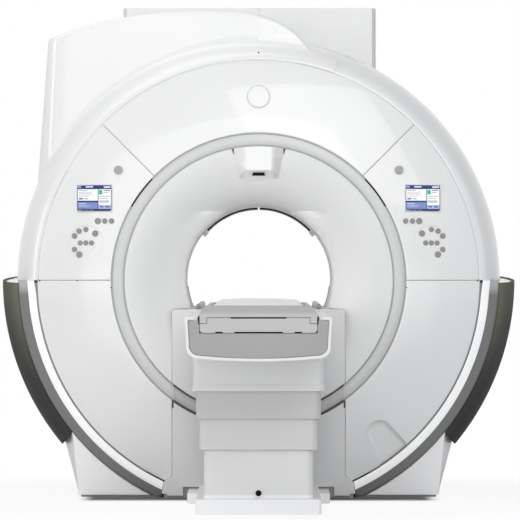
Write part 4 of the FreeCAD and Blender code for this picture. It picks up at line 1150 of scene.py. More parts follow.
def hood_part(low_angle, high_angle):
    """Rays from the rim to the outline, an edge rolled over, a wall to the rear and a closed back."""
    angle = np.unique(np.concatenate([np.linspace(low_angle, high_angle, 170),
                                      hood_angle[(hood_angle > low_angle) & (hood_angle < high_angle)]]))
    reach = np.interp(angle, hood_angle[::-1], hood_reach[::-1])[:, None]
    start = RIM + 2 * MM
    flat = start + (reach - HOOD_ROLL - start) * np.linspace(0, 1, 46)[None, :]
    bend = np.linspace(0, math.pi / 2, 8)[None, 1:]
    edge = reach - HOOD_ROLL + HOOD_ROLL * np.sin(bend)
    radius = np.concatenate([flat, edge, reach, reach, 0 * reach + HOOD_FOOT], axis=1)
    sunk = np.concatenate([flat * 0, HOOD_ROLL - HOOD_ROLL * np.cos(bend) + edge * 0], axis=1)
    x = radius[:, :-3] * np.cos(angle)[:, None]
    z = AXIS + radius[:, :-3] * np.sin(angle)[:, None]
    depth = smooth_smaller(rim_depth(radius[:, :-3]), leaning(x, z), MELT) - PROUD + sunk
    far = 0 * reach + HOOD_REAR
    depth = np.concatenate([depth, far - 8 * MM, far, far, 0 * reach + HOOD_INNER_DEPTH], axis=1)
    radius = np.concatenate([radius, radius[:, -1:]], axis=1)
    return tube_of(around(radius, angle[:, None], depth))


# Half the hood's seam in radians, a millimetre at the barrel.
SEAM_TURN = 0.0009
make("hood_left_part", hood_part(math.pi / 2 + SEAM_TURN, hood_angle[0]), COVER, "white_cover", crease=42)
make("hood_right_part", hood_part(hood_angle[-1], math.pi / 2 - SEAM_TURN), COVER, "white_cover", crease=42)


def seam_filler(low, high, sunk):
    """Narrow strip under the middle seam, following the front at a small depth below it."""
    radius = np.linspace(low, high, 60)
    x = np.array([-2.0, -2.0, 2.0, 2.0]) * MM
    front = smooth_smaller(rim_depth(radius), leaning(0 * radius, AXIS + radius), MELT) + sunk - PROUD
    back = front + 5 * MM
    y = FRONT + np.stack([front, back, back, front], axis=1)
    return tube_of(np.stack([x[None, :] + 0 * y, y, AXIS + radius[:, None] + 0 * y], axis=-1))


make("rim_seam_filler", seam_filler(1001.5 * MM, 1031 * MM, 0.05 * MM), COVER, "white_cover")
make("hood_seam_filler", seam_filler(1031 * MM, 1190 * MM, 0.6 * MM), COVER, "white_cover")

# %% [markdown]
# ## Easing the edges of straight-sided pieces
# The tower, column, floor skirts, table and lift covers have flat sides, and their solids already
# have the right form. What they lack is the small radius that every moulded or folded edge has. A
# copy is merged into one mesh, flat faces are joined, and a Bevel rounds each edge.

# %% Eased copies of solids
def eased(node, finish, slot, width, body="gantry", segments=3):
    """A copy of a solid with rounded edges, which stands for the solid."""
    work = bmesh.new()
    work.from_mesh(frame["nodes"][node].data)
    bmesh.ops.remove_doubles(work, verts=work.verts, dist=0.02 * MM)
    bmesh.ops.dissolve_limit(work, angle_limit=math.radians(1.0), verts=work.verts, edges=work.edges)
    mesh = bpy.data.meshes.new(node + "_eased")
    work.to_mesh(mesh)
    work.free()
    smooth_but_creased(mesh, 60)
    piece = place(node + "_eased", mesh, finish, slot, body, (node,))
    bevel = piece.modifiers.new("eased_edges", "BEVEL")
    bevel.width, bevel.segments, bevel.limit_method = width, segments, "ANGLE"
    bevel.angle_limit = math.radians(32)
    bevel.use_clamp_overlap = True
    level = piece.modifiers.new("flat_faces", "WEIGHTED_NORMAL")
    level.keep_sharp = True


eased("service_tower", TOWER_PAINT, "tower_cover", 5 * MM)
eased("column_cover", COLUMN_PAINT, "column_grey", 3.5 * MM)
eased("base_cover_left", SKIRT_PAINTED_LIGHT, "white_cover", 3 * MM)
eased("base_cover_right", SKIRT_PAINTED_LIGHT, "white_cover", 3 * MM)
eased("rear_cover", COVER, "white_cover", 1.5 * MM, segments=2)
eased("alignment_pod", POD_PAINT, "white_cover", 3 * MM)
eased("side_rails", RAIL, "rail_grey", 1.2 * MM)
eased("bore_bridge", BRIDGE_GREY, "cradle_shell", 2 * MM)
eased("magnet_feet", FOOT_PAINT, "foot_steel", 2 * MM)


PLATE_TOP = (72 * MM, 80 * MM)


def base_finish():
    """Table lacquer on the pedestal, and the plate at its foot whiter as painted light."""
    bench = Bench("table_base_painted_light")
    height = bench.parts(bench.spot())[2]
    # Painted light: the plate is whiter than the pedestal above it.
    colour = bench.between(height.eased(*PLATE_TOP), (0.91, 0.91, 0.915), (0.74, 0.74, 0.739))
    return sprayed(bench, colour, gloss=0.36)


eased("table_base", base_finish(), "table_white", 3 * MM)
eased("lift_cover_middle", MIDDLE_LIFT_SHADED_PAINT, "table_white", 3.5 * MM, body="cover_middle")
eased("lift_cover_upper", UPPER_LIFT_SHADED_PAINT, "table_white", 3.5 * MM, body="cover_upper")
eased("table_frame", TABLE_PAINT, "table_white", 3 * MM, body="table_top")
eased("end_panel", PANEL_GREY, "table_grey", 1.5 * MM, body="table_top")


CRADLE_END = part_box("cradle")[0][1]
DRAWER_HALF = 208 * MM
DRAWER_TOP = 846.5 * MM
SIDE_TOP = 820.5 * MM
CAP_PAINTED_SHADE = (852 * MM, 876 * MM)
END_WALL = 20 * MM


def cradle_finish():
    """Grey moulding in two tones: the drawer is pale, and the cap above it darkens towards its top as
    painted shade where its face curves away.
    """
    bench = Bench("cradle_moulding")
    across, back, height = bench.parts(bench.spot())
    beside = (across * across > DRAWER_HALF ** 2)
    drawer = (height < DRAWER_TOP) * (1 - beside) + (height < SIDE_TOP) * beside
    # Painted shade: the cap darkens towards its top, where its face curves away.
    cap = bench.between(height.eased(*CAP_PAINTED_SHADE), grey(0.50), grey(0.385))
    at_the_end = back < CRADLE_END + END_WALL
    front = bench.between(drawer, cap, grey(0.50))
    colour = bench.between(at_the_end, grey(0.43), front)
    return sprayed(bench, colour, gloss=0.46, ripple=COARSE_RIPPLE, coat=0.0)


eased("cradle", cradle_finish(), "cradle_shell", 3 * MM, body="cradle")

# %% [markdown]
# ## Keys that can be pressed
# A key is a small lathe job: a plunger with a rounded shoulder and a slightly dished top, so that a
# finger finds its middle. Each one rides on its own body and moves along its own axis. Its top is
# a pale disc, and a plain mark such as a bar, a dot or a wedge is raised on that in the key's grey.
# The two stop buttons are larger, slightly domed and bare.

# %% Keys and their marks
def key_finish(name, colour, dark):
    """Satin key plastic, darker in the clouds where fingers have polished it less."""
    bench = Bench(name)
    grip = bench.cloud(160.0, 3.0)
    return bench.finished(Base_Color=bench.between(grip.eased(0.35, 0.65), colour, dark),
                          Roughness=grip * 0.2 + 0.32, Normal=bench.raised(bench.cloud(1800.0), 0.02 * MM))


KEY_GREY = key_finish("key_plastic", (0.29, 0.29, 0.288), (0.26, 0.26, 0.26))
KEY_TOP_GREY = key_finish("key_top_plastic", (0.60, 0.60, 0.60), (0.54, 0.545, 0.545))
STOP_GREY = key_finish("stop_plastic", (0.40, 0.395, 0.385), (0.36, 0.355, 0.35))


def flat_mark(spot, outline, rise):
    """A raised mark: an outline in (across, up), carried from under the key's top to a small rise."""
    levels = [np.concatenate([outline, np.full((len(outline), 1), level)], axis=1)
              for level in (-0.6 * MM, rise)]
    return tube_of(on_the_face(spot, np.stack(levels)))


def polygon(corners, reach, turn=0.0, stretch=1.0):
    """Corners evenly spaced on a circle of a given reach, turned and stretched across."""
    angle = np.linspace(0, 2 * math.pi, corners, endpoint=False) + turn
    return np.stack([reach * stretch * np.cos(angle), reach * np.sin(angle)], axis=1)


MARKS = ((3, 0.52, math.pi / 2, 1.0), (3, 0.52, -math.pi / 2, 1.0), (4, 0.42, math.pi / 4, 1.5),
         (20, 0.36, 0.0, 1.0), (3, 0.52, 0.0, 1.0), (4, 0.46, 0.0, 1.0))
STOP_EASE, KEY_EASE = 1.6 * MM, 1.1 * MM
KEY_DIP = 0.5 * MM
DISC_SHARE = 0.70
DISC_LIFT, MARK_LIFT = 0.06 * MM, 0.14 * MM


def key_piece(node, number):
    """One key with its pale disc and its mark; the disc's faces take the second material."""
    spot, radius = key_spot(node)
    stop = "stop" in node
    turn = np.linspace(0, math.pi / 2, 6)
    ease = STOP_EASE if stop else KEY_EASE
    shoulder = (radius - ease + ease * np.cos(turn), -ease + ease * np.sin(turn))
    dish = np.linspace(0.8, 0.02, 8) * (radius - ease)
    dip = -KEY_DIP * (1 - (dish / (radius - ease)) ** 2)
    depth = 2 * (STOP_HALF_LENGTH if stop else KEY_HALF_LENGTH)
    body = lathed(spot, np.concatenate([[radius * 0.5, radius], shoulder[0], dish]),
                  np.concatenate([[-depth, -depth], shoulder[1], -dip if stop else dip]), 40)
    face = flat_mark(spot, polygon(24, DISC_SHARE * radius), DISC_LIFT)
    corners, share, turned, stretch = MARKS[number % len(MARKS)]
    mark = flat_mark(spot, polygon(corners, share * radius, turned, stretch), MARK_LIFT)
    bodies = [body] if stop else [body, face, mark]
    mesh = mesh_from(node + "_cap", joined(*bodies), 40)
    if not stop:
        marked = np.zeros(len(mesh.polygons), dtype=np.int32)
        own, pale = (sum(len(block) for block in part[1]) for part in (body, face))
        marked[own:own + pale] = 1
        mesh.polygons.foreach_set("material_index", marked)
    finish = STOP_GREY if stop else [KEY_GREY, KEY_TOP_GREY]
    place(node + "_cap", mesh, finish, "stop_grey" if stop else "key_grey", node + "_body", (node,))


KEYS_PER_SIDE = len(KEY_NODES) // 2
for number, node in enumerate(sorted(KEY_NODES)):
    key_piece(node, number % KEYS_PER_SIDE)

# %% [markdown]
# ## Screens with a plain picture
# Each console shows a screen. What is on it is made from plain fields of colour: a dark header, a
# pale work area, a lilac block, a green tile. The fields are set by fractions of the screen, and
# one helper, `tile`, is 1 inside a rectangle and 0 outside, so tiles simply stack as colour mixes.

# %% Screen picture
SCREEN_TILES = (
    ((0.00, 1.00, 0.00, 0.16), (0.018, 0.040, 0.210)), ((0.02, 0.60, 0.16, 0.60), (0.98, 0.98, 0.98)),
    ((0.62, 0.98, 0.16, 0.76), (0.98, 0.98, 0.98)), ((0.02, 0.60, 0.60, 0.66), (0.018, 0.040, 0.180)),
    ((0.02, 0.60, 0.66, 0.91), (0.20, 0.28, 0.56)), ((0.62, 0.98, 0.76, 0.91), (0.45, 0.52, 0.82)),
    ((0.63, 0.73, 0.19, 0.36), (0.01, 0.56, 0.20)), ((0.76, 0.95, 0.19, 0.23), (0.26, 0.30, 0.36)),
    ((0.76, 0.90, 0.27, 0.30), (0.42, 0.45, 0.50)), ((0.64, 0.95, 0.42, 0.45), (0.46, 0.50, 0.56)),
    ((0.64, 0.88, 0.50, 0.53), (0.46, 0.50, 0.56)), ((0.64, 0.92, 0.59, 0.68), (0.50, 0.56, 0.70)),
    ((0.25, 0.46, 0.045, 0.095), (0.82, 0.84, 0.88)), ((0.77, 0.96, 0.045, 0.115), (0.70, 0.74, 0.82)),
    ((0.03, 0.12, 0.045, 0.115), (0.30, 0.40, 0.62)), ((0.05, 0.30, 0.20, 0.225), (0.30, 0.33, 0.38)),
    ((0.05, 0.44, 0.27, 0.29), (0.45, 0.48, 0.52)), ((0.05, 0.40, 0.32, 0.34), (0.50, 0.53, 0.57)),
    ((0.05, 0.48, 0.37, 0.39), (0.50, 0.53, 0.57)), ((0.05, 0.36, 0.42, 0.44), (0.45, 0.48, 0.52)),
    ((0.05, 0.17, 0.49, 0.56), (0.16, 0.26, 0.48)), ((0.20, 0.32, 0.49, 0.56), (0.56, 0.60, 0.66)),
    ((0.05, 0.26, 0.70, 0.73), (0.70, 0.73, 0.86)), ((0.05, 0.40, 0.77, 0.79), (0.52, 0.56, 0.78)),
    ((0.05, 0.34, 0.82, 0.84), (0.52, 0.56, 0.78)), ((0.66, 0.76, 0.81, 0.86), (0.06, 0.09, 0.22)),
    ((0.81, 0.94, 0.81, 0.86), (0.06, 0.09, 0.22)), ((0.00, 1.00, 0.92, 1.00), (0.020, 0.040, 0.115)),
    ((0.03, 0.16, 0.945, 0.985), (0.30, 0.34, 0.50)), ((0.19, 0.32, 0.945, 0.985), (0.16, 0.20, 0.36)),
    ((0.35, 0.48, 0.945, 0.985), (0.16, 0.20, 0.36)))


def screen_finish(name, left, top, size):
    """Lit screen: the fields are stacked one after another over the dark ground, as emitted light."""
    bench = Bench(name)
    across, _, height = bench.parts(bench.spot())
    u = (across - left) / size[0]
    v = (height * -1 + top) / size[1]
    colour = bench.between(bench.cloud(40.0) * 0.2, (0.03, 0.05, 0.13), (0.04, 0.07, 0.17))
    for (u0, u1, v0, v1), field in SCREEN_TILES:
        tile = (u > u0) * (u < u1) * (v > v0) * (v < v1)
        colour = bench.between(tile, colour, field)
    return bench.finished(Base_Color=(0.01, 0.01, 0.012, 1.0), Roughness=bench.cloud(30.0) * 0.1 + 0.14,
                          Emission_Color=colour, Emission_Strength=1.0, Specular_IOR_Level=0.15)


BEZEL_POWER = 0.16


def bezel(spot):
    """Frame of a screen: four-sided rings from the panel up, over a rounded edge, and down inside."""
    grow = np.array([0.0, 0.0, -0.8, -1.6, -1.4, -2.0]) * MM
    level = np.array([-20, 2.4, 2.95, 3.2, 3.2, 1.6]) * MM
    turn = np.linspace(0, 2 * math.pi, 64, endpoint=False)
    circle = np.stack([np.cos(turn), np.sin(turn)])
    corner = np.sign(circle) * np.abs(circle) ** BEZEL_POWER
    half = np.array(DISPLAY_SIZE)[:, None, None] / 2 + grow[None, :, None]
    across, up = half * corner[:, None, :]
    return on_the_face(spot, np.stack([across, up, level[:, None] + 0 * up], axis=-1))


GLASS_INSET = 3.4 * MM
GLASS_SHIFT = 1.2 * MM
GLASS_LEVELS = (1.2 * MM, 2.2 * MM)


def display(side):
    """One screen: a pale bezel, deeper below than above, and the glass that carries the picture."""
    spot = on_console(side, DISPLAY_AT)
    make(side + "_screen_frame", tube_of(bezel(spot)), COLUMN_PAINT, "screen", crease=40)
    wide, high = (length - GLASS_INSET for length in DISPLAY_SIZE)
    middle = spot[0] + GLASS_SHIFT * spot[2]
    glass = box_on_face((middle,) + spot[1:], wide, high, *GLASS_LEVELS)
    tone = screen_finish(side + "_screen_picture", middle[0] - wide / 2, middle[2] + high / 2, (wide, high))
    make(side + "_screen_glass", glass, tone, "screen")


display("left")
display("right")

# %% [markdown]
# ## Small dark things
# At the far end of the bore a black crescent is painted shadow where the rear bell begins, over a
# grey band of painted shade, and a thinner dark one runs down each side to the bridge. The horizontal
# seams carry small latch dots, the pod has a dark window, and the lowest lift cover a release hole near
# the floor. All of these are thin closed bodies laid a fraction of a millimetre proud.

# %% Crescent, dots, window and hole
def end_arc(inner, outer, near, start, end, far=1560, steps=60):
    """Square-edged arc at the bore's far end, between two radii and two depths in millimetres."""
    section = (np.array([inner, outer, outer, inner]) * MM, np.array([near, near, far, far]) * MM)
    return part_ring(section, math.radians(start), math.radians(end), steps)


shadow = [end_arc(341.5, 349.2, 1546, start, end) for start, end in ((43, 89.3), (90.7, 137))]
# Painted shade: a grey band inside the black crescent.
lip = [end_arc(337, 341.3, 1547, start, end) for start, end in ((42.8, 89.3), (90.7, 137.2))]
sides = [end_arc(346.4, 349.4, 1548, start, end) for start, end in ((-34, -6), (186, 214))]
lamps = [end_arc(333, 349.4, 1540, start, end, 1562, 12) for start, end in ((38, 42.6), (137.4, 142))]
make("bore_end_shadow", joined(*shadow), BLACK, "grey_trim")
make("bore_end_shade_band", joined(*lip), FILLER, "grey_trim")
make("bore_side_shadows", joined(*sides), PAINTED_SHADE_GREY, "grey_trim")
make("bore_end_lamps", joined(*lamps), COVER, "white_cover")


def plate_between(corners, depth, thick):
    """Thin upright plate: corners given as (x, z), from a depth to a little behind it."""
    outline = np.array(corners) * MM
    front = np.stack([outline[:, 0], np.full(len(outline), FRONT + depth), outline[:, 1]], axis=-1)
    return tube_of(np.stack([front, front + np.array([0.0, thick, 0.0])]))


POD_CORNER = ((112.5, 1580), (122.5, 1579), (114, 1556), (111.5, 1556))
POD_WINDOW = ((-24, 1472.5), (24, 1472.5), (29.6, 1458.4), (-29.6, 1458.4))
# Painted shade: dark wedges at the pod's top corners stand for the shadow in the gap there.
wedge = plate_between(POD_CORNER, -2.5 * MM, 8 * MM)
make("pod_corner_shades", both_sides(wedge), PAINTED_SHADE_GREY, "grey_trim")
make("pod_window", plate_between(POD_WINDOW, 3 * MM, 20 * MM), BLACK, "screen")

DOT_PLACES = ((-821, 983), (-992, 982), (992, 982), (-667, 953), (669, 953))
DOT_RADII = np.array([2.8, 2.8, 2.2, 0.2]) * MM
DOT_RISE = np.array([-4, 0.5, 0.8, 0.8]) * MM
TOP_DOT_RADII = np.array([4.0, 4.0, 3.2, 0.2]) * MM
TOP_DOT_RISE = np.array([-6, 1.2, 1.6, 1.6]) * MM
TOP_DOT_HEIGHT = 2017 * MM
TOP_DOT_RADIUS = 1032 * MM
TOP_DOT_TILT = math.radians(42)


def top_dot():
    """Larger dot on the middle seam, where the rim melts into the hood and faces half upwards."""
    depth = smooth_smaller(rim_depth(TOP_DOT_RADIUS), leaning(0.0, TOP_DOT_HEIGHT), MELT)
    origin = np.array([0.0, FRONT + float(depth), TOP_DOT_HEIGHT])
    out = np.array([0.0, -math.cos(TOP_DOT_TILT), math.sin(TOP_DOT_TILT)])
    return lathed(spot_at(origin, out), TOP_DOT_RADII, TOP_DOT_RISE, 20)


dots = [lathed(facing(x * MM, z * MM), DOT_RADII, DOT_RISE, 20) for x, z in DOT_PLACES]
make("latch_dots", joined(*dots, top_dot()), BLACK, "grey_trim")


def upright(left, right, low, high, depth, thick):
    """Thin plate with upright sides, its four edges given in millimetres."""
    return plate_between(((left, low), (right, low), (right, high), (left, high)), depth, thick)


BAND_JOINTS = ((391.5, 393.1, 453, 514), (382.5, 384.1, 446.5, 507))
band_joints = joined(*[upright(*edges, 1.2 * MM, 12 * MM) for edges in BAND_JOINTS])
make("band_joints", both_sides(band_joints), RUBBER, "grey_trim")
# Painted shade: dark plates laid on the gap between the lower panels and the column.
make("column_slit_shades", both_sides(upright(384, 391.5, 408, 443, -0.4 * MM, 6 * MM)), PAINTED_SHADE_GREY, "grey_trim")


# Painted shade: rubber-grey plates under the covers, and one in the column's arch, darken the gaps there.
SHADE_SKIRT_EDGES = ((340, 429, 14, 20, 27), (440, 800, 98, 104, 24), (800, 806, 98, 1712, 24),
              (240, 800, 1706, 1712, 24))


def shade_skirt(left, right, near, far, top):
    """Rubber skirt between two x and two depths, from just over the floor up, in millimetres; it is painted
    shade for the gap under the covers.
    """
    return upright(left, right, 1, top, near * MM, (far - near) * MM)


shade_skirts = both_sides(joined(*[shade_skirt(*edges) for edges in SHADE_SKIRT_EDGES]))
make("floor_shade_skirts", joined(shade_skirt(-339.5, 339.5, 14, 20, 49.5), shade_skirts), RUBBER, "grey_trim")


PEDESTAL_SET_BACK = 45 * MM
HOLE_AT = np.array([0.0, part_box("table_base")[0][1] + PEDESTAL_SET_BACK, 87 * MM])
HOLE_RADII = np.array([13, 13, 12.2, 0.4]) * MM
HOLE_RISE = np.array([-2.0, 0.25, 0.35, 0.35]) * MM
hole = lathed(spot_at(HOLE_AT, np.array([0.0, -1.0, 0.0])), HOLE_RADII, HOLE_RISE, 40)
make("release_hole", hole, BLACK, "grey_trim")

# %% [markdown]
# ## Finger slots in the end of the cradle
# The end cap of the cradle has a drawer front with a dark slot above it, and three more dark slots
# where the drawer meets the table's end panel. A short upright one stands on each side. They are
# thin black plates sunk in the joints, as painted shade for the shadows in those gaps.

# %% Slots
SLOT_SPANS = ((-172, -142), (-96, 97), (144, 174))
cradle_end_depth = CRADLE_END - FRONT
panel_end_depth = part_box("end_panel")[0][1] - FRONT
upper_slot = upright(-110, 111, 843.6, 849.2, cradle_end_depth - 0.2 * MM, 3 * MM)
make("drawer_slot", upper_slot, BLACK, "grey_trim", "cradle")
lower_slots = [upright(start, end, 784.8, 791, cradle_end_depth - 0.3 * MM, 3 * MM)
               for start, end in SLOT_SPANS]
make("lower_drawer_slots", joined(*lower_slots), BLACK, "grey_trim", "cradle")
side_slot = upright(235.3, 239.5, 820, 850, panel_end_depth - 0.3 * MM, 4 * MM)
make("side_slots", both_sides(side_slot), BLACK, "grey_trim", "table_top")

# %% [markdown]
# ## A soft pad on the cradle
# The pad is foam in a wipe-clean cover. Its form comes from a cloth simulation: it starts a little
# smaller and is swollen from inside, which crowns its top and rounds its edges.

# %% Cradle pad
def pad_material():
    """Wipe-clean cover: fine woven grain in two directions, a little greyer where it is worn."""
    bench = Bench("pad_cloth")
    across, along, _ = bench.parts(bench.spot())
    weave = ((across * 5200).sine() * (along * 5200).sine()) * 0.5 + 0.5
    worn = bench.cloud(5.0, 3.0)
    colour = bench.between(worn.eased(0.3, 0.7), grey(0.93), (0.89, 0.89, 0.892))
    return bench.finished(Base_Color=colour, Roughness=weave * 0.12 + 0.5,
                          Normal=bench.raised(weave, 0.08 * MM))


PAD_VOXEL = 10 * MM
PAD_DRAW_IN = 4 * MM
PAD_SWELL = 3 * MM
CLOTH_FRAMES = 20


def corners_of(mesh):
    """The mesh's points as rows of x, y and z."""
    points = np.empty(len(mesh.vertices) * 3)
    mesh.vertices.foreach_get("co", points)
    return points.reshape(-1, 3)


def as_shown(piece):
    """Mesh of a piece with its modifiers worked out."""
    return bpy.data.meshes.new_from_object(piece.evaluated_get(bpy.context.evaluated_depsgraph_get()))


def even_pad():
    """The solid's mesh, drawn in by a few millimetres and rebuilt from even squares."""
    source = frame["nodes"]["cradle_pad"].data.copy()
    merged = bmesh.new()
    merged.from_mesh(source)
    bmesh.ops.remove_doubles(merged, verts=merged.verts, dist=0.05 * MM)
    merged.to_mesh(source)
    merged.free()
    points = corners_of(source)
    centre = (points.max(axis=0) + points.min(axis=0)) / 2
    points = centre + (points - centre) * (1 - PAD_DRAW_IN / (points.max(axis=0) - centre))
    source.vertices.foreach_set("co", points.ravel())
    pad = bpy.data.objects.new("cradle_cushion", source)
    bpy.context.scene.collection.objects.link(pad)
    remesh = pad.modifiers.new("even_mesh", "REMESH")
    remesh.mode, remesh.voxel_size = "VOXEL", PAD_VOXEL
    pad.data = as_shown(pad)
    pad.modifiers.clear()
    return pad


def swell(pad):
    """Blows the pad up as cloth; no point may move further than the cap along any axis."""
    rest = corners_of(pad.data)
    cloth = pad.modifiers.new("swell", "CLOTH")
    cloth.settings.use_pressure = True
    cloth.settings.uniform_pressure_force = 4.0
    cloth.settings.effector_weights.gravity = 0.0
    cloth.settings.quality = 5
    cloth.point_cache.frame_start, cloth.point_cache.frame_end = 1, CLOTH_FRAMES
    for tick in range(1, CLOTH_FRAMES + 1):
        bpy.context.scene.frame_set(tick)
    swollen = as_shown(pad)
    pad.modifiers.clear()
    pad.data = swollen
    bpy.context.scene.frame_set(1)
    step = np.nan_to_num(np.clip(corners_of(swollen) - rest, -PAD_SWELL, PAD_SWELL))
    swollen.vertices.foreach_set("co", (rest + step).ravel())


def cradle_pad():
    """The pad: its solid's mesh, remeshed, swollen in a short cloth simulation, then smoothed once."""
    pad = even_pad()
    swell(pad)
    mesh = pad.data
    bpy.data.objects.remove(pad)
    mesh.name = "cradle_cushion"
    smooth_but_creased(mesh, 180)
    piece = place("cradle_cushion", mesh, pad_material(), "pad_cloth", "cradle", ("cradle_pad",))
    smooth = piece.modifiers.new("smooth", "SUBSURF")
    smooth.levels = smooth.render_levels = 1


cradle_pad()

# %% [markdown]
# ## What works inside
# Three solids never show unless the covers come off: the steel vessel of the magnet, the resin cast
# coil and the cold head. They keep their solids and only get a finish: turned steel, mottled
# resin, and bare metal with a machined grain. The cases of the two screens keep theirs as well.

# %% Inner finishes
def metal(name, light, dark, grain_scale):
    """Bare metal: clouds stretched along the bore look like the grain of rolling or turning."""
    bench = Bench(name)
    across, along, height = bench.parts(bench.spot())
    stretched = bench.add("ShaderNodeCombineXYZ", inputs={"X": across, "Y": along * 0.05, "Z": height})
    grain = bench.cloud(grain_scale, 4.0, 0.6, stretched)
    return bench.finished(Base_Color=bench.between(grain, light, dark), Metallic=1.0,
                          Roughness=grain * 0.2 + 0.27, Normal=bench.raised(grain, 0.05 * MM))


def resin():
    """Cast resin: warm amber with fibre mottling."""
    bench = Bench("coil_casting")
    fibre = bench.cloud(60.0, 6.0, 0.65)
    return bench.finished(Base_Color=bench.between(fibre.eased(0.35, 0.65), (0.42, 0.27, 0.11),
                                                   (0.30, 0.17, 0.06)),
                          Roughness=fibre * 0.2 + 0.3, Normal=bench.raised(fibre, 0.3 * MM))


def dress(node, finish):
    """Gives a solid its finish."""
    piece = frame["nodes"][node]
    piece.data.materials.clear()
    piece.data.materials.append(finish)


vessel_metal = metal("vessel_metal", (0.50, 0.51, 0.52), (0.40, 0.41, 0.43), 40.0)
head_metal = metal("cold_head_metal", (0.62, 0.60, 0.56), (0.50, 0.48, 0.45), 120.0)
dress("magnet_vessel", vessel_metal)
dress("gradient_coil", resin())
dress("cold_head", head_metal)
dress("display_units", COLUMN_PAINT)

# %% [markdown]
# ## Camera
# The view is straight on, from far away with a long lens, so the bore reads as a set of circles.
# The camera stands 18 metres in front of the gantry's face, a little above the bore's axis.

# %% Camera
CAMERA_DISTANCE = 18.0
CAMERA_SIDE = 6.3 * MM
CAMERA_HEIGHT = 1077 * MM
SENSOR_WIDTH_MM = 36.0
LENS_MM = 275.7

camera_data = bpy.data.cameras.new("front_view")
camera_data.sensor_fit = "HORIZONTAL"
camera_data.sensor_width, camera_data.lens = SENSOR_WIDTH_MM, LENS_MM
camera_data.clip_start, camera_data.clip_end = 1.0, 100.0
camera = bpy.data.objects.new("front_view", camera_data)
bpy.context.scene.collection.objects.link(camera)
camera.location = (CAMERA_SIDE, FRONT - CAMERA_DISTANCE, CAMERA_HEIGHT)
camera.rotation_euler = (math.radians(90), 0, 0)
bpy.context.scene.camera = camera
bpy.context.scene.view_settings.view_transform = "Standard"

# %% [markdown]
# ## A white studio
# The floor and the world are white only where the camera or a reflection sees them, so that the
# background stays clean without flooding the machine with light. The floor still takes a shadow:
# its shader mixes a pale diffuse surface with plain emitted white, and close to the covers' foot it
# carries a painted shadow.

# %% Floor and world
SOFT_LIGHT = 0.31
FAR_FROM, FAR_TO = 1.2, 2.4
# Where the floor's painted shadow lies: across, in front of the covers and behind.
CONTACT_SIDE = (0.74, 0.83)
CONTACT_FRONT = (FRONT - 0.28, FRONT - 0.08)
CONTACT_BACK = (1.85, 1.95)


def studio_world():
    """White for camera, glossy and transmission rays; a softer grey-white for the light itself."""
    world = bpy.data.worlds.new("studio")
    world.use_nodes = True
    tree = world.node_tree
    tree.nodes.clear()
    path = tree.nodes.new("ShaderNodeLightPath")
    seen, shiny = tree.nodes.new("ShaderNodeMath"), tree.nodes.new("ShaderNodeMath")
    seen.operation = shiny.operation = "MAXIMUM"
    tree.links.new(path.outputs["Is Camera Ray"], seen.inputs[0])
    tree.links.new(shiny.outputs[0], seen.inputs[1])
    tree.links.new(path.outputs["Is Glossy Ray"], shiny.inputs[0])
    tree.links.new(path.outputs["Is Transmission Ray"], shiny.inputs[1])
    soft, white = tree.nodes.new("ShaderNodeBackground"), tree.nodes.new("ShaderNodeBackground")
    soft.inputs["Color"].default_value = (0.97, 0.98, 1.0, 1.0)
    soft.inputs["Strength"].default_value = SOFT_LIGHT
    white.inputs["Color"].default_value = (1.0, 1.0, 1.0, 1.0)
    white.inputs["Strength"].default_value = 1.0
    mix, output = tree.nodes.new("ShaderNodeMixShader"), tree.nodes.new("ShaderNodeOutputWorld")
    tree.links.new(seen.outputs[0], mix.inputs[0])
    tree.links.new(soft.outputs[0], mix.inputs[1])
    tree.links.new(white.outputs[0], mix.inputs[2])
    tree.links.new(mix.outputs[0], output.inputs["Surface"])
    bpy.context.scene.world = world


def floor_finish():
    """Pale floor: diffuse, so that it takes a shadow, with a share of plain white that grows outward.

    Close to the covers' foot the floor carries a painted shadow, dark where lamps hardly reach: one
    smooth step along x times two along y."""
    bench = Bench("studio_floor")
    across, back, _ = bench.parts(bench.spot())
    behind_middle = back - 0.3
    far = ((across * across + behind_middle * behind_middle) ** 0.5).eased(FAR_FROM, FAR_TO)
    beside = 1 - ((across * across) ** 0.5).eased(*CONTACT_SIDE)
    painted_floor_shadow = beside * back.eased(*CONTACT_FRONT) * (1 - back.eased(*CONTACT_BACK))
    pale = bench.between(bench.cloud(3.0, 2.0), grey(0.93), grey(0.95))
    matt = bench.add("ShaderNodeBsdfDiffuse", inputs={"Color": bench.between(painted_floor_shadow, pale, grey(0.20))})
    lit = bench.add("ShaderNodeEmission", inputs={"Color": (1.0, 1.0, 1.0, 1.0), "Strength": 1.0})
    eye = bench.add("ShaderNodeLightPath", output="Is Camera Ray")
    share = eye * (far * 0.1 + 0.9) * (1 - painted_floor_shadow)
    bench.add_output(bench.add("ShaderNodeMixShader", inputs={0: share, 1: matt, 2: lit}))
    return bench.material


studio_world()
floor_mesh = bpy.data.meshes.new("studio_floor")
floor_mesh.from_pydata([(-30, -16, 0), (30, -16, 0), (30, 40, 0), (-30, 40, 0)], [], [(0, 1, 2, 3)])
floor_mesh.materials.append(floor_finish())
floor = bpy.data.objects.new("studio_floor", floor_mesh)
bpy.context.scene.collection.objects.link(floor)

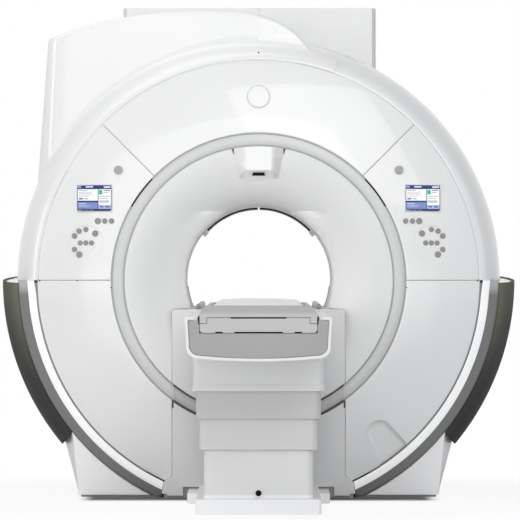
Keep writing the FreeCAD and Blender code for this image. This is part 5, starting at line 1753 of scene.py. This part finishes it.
# %% [markdown]
# ## Light
# Wide lamps in front, above and on the left do most of the work, and their softness keeps the
# shadows soft. The slanted one on the right is mirrored by the top panel: its left edge shows there
# as a faint line beside the disc. A cool one gives the right rim its touch of blue.

# %% Lamps
def lamp(name, place_at, aim, size, power, tint=(1.0, 1.0, 1.0), roll=0.0):
    """Area lamp that points from one place at another, rolled about its own axis by an angle."""
    data = bpy.data.lights.new(name, "AREA")
    data.shape, data.size, data.size_y = "RECTANGLE", size[0], size[1]
    data.energy, data.color = power, tint
    item = bpy.data.objects.new(name, data)
    bpy.context.scene.collection.objects.link(item)
    item.location = place_at
    direction = np.array(aim) - np.array(place_at)
    yaw = math.atan2(-direction[0], direction[1])
    pitch = math.atan2(direction[2], math.hypot(direction[0], direction[1]))
    turn = (Matrix.Rotation(yaw, 3, "Z") @ Matrix.Rotation(math.pi / 2 + pitch, 3, "X")
            @ Matrix.Rotation(roll, 3, "Z"))
    item.rotation_euler = turn.to_euler()
    return item


lamp("slanted_softbox", (1.51, -9.0, 3.96), (0.0, 0.0, 1.7), (3.8, 4.0), 152.0, roll=math.radians(11))
lamp("front_fill", (-1.2, -11.0, 2.4), (0.0, 0.0, 1.1), (5.5, 3.5), 140.0)
lamp("overhead", (-1.6, -1.0, 5.6), (0.0, 0.6, 1.8), (4.2, 3.6), 78.0)
lamp("left_side", (-8.0, -5.0, 2.2), (0.0, 0.3, 1.2), (3.0, 3.6), 150.0)
lamp("cool_side", (5.6, -2.0, 2.6), (0.6, 0.6, 1.1), (2.4, 3.2), 30.0, (0.86, 0.93, 1.0))
lamp("low_front", (0.0, -7.0, 0.6), (0.0, 0.0, 0.4), (6.0, 1.0), 26.0)
rear = lamp("behind", (0.0, 5.2, 1.6), (0.0, 1.0, 1.0), (2.6, 2.2), 55.0)
inside = lamp("bore_light", (0.0, 0.75, 1.30), (0.0, 0.75, 0.4), (0.5, 0.9), 3.5)
for hidden in (rear, inside):
    hidden.visible_camera = hidden.visible_glossy = False
print("eight lamps set")
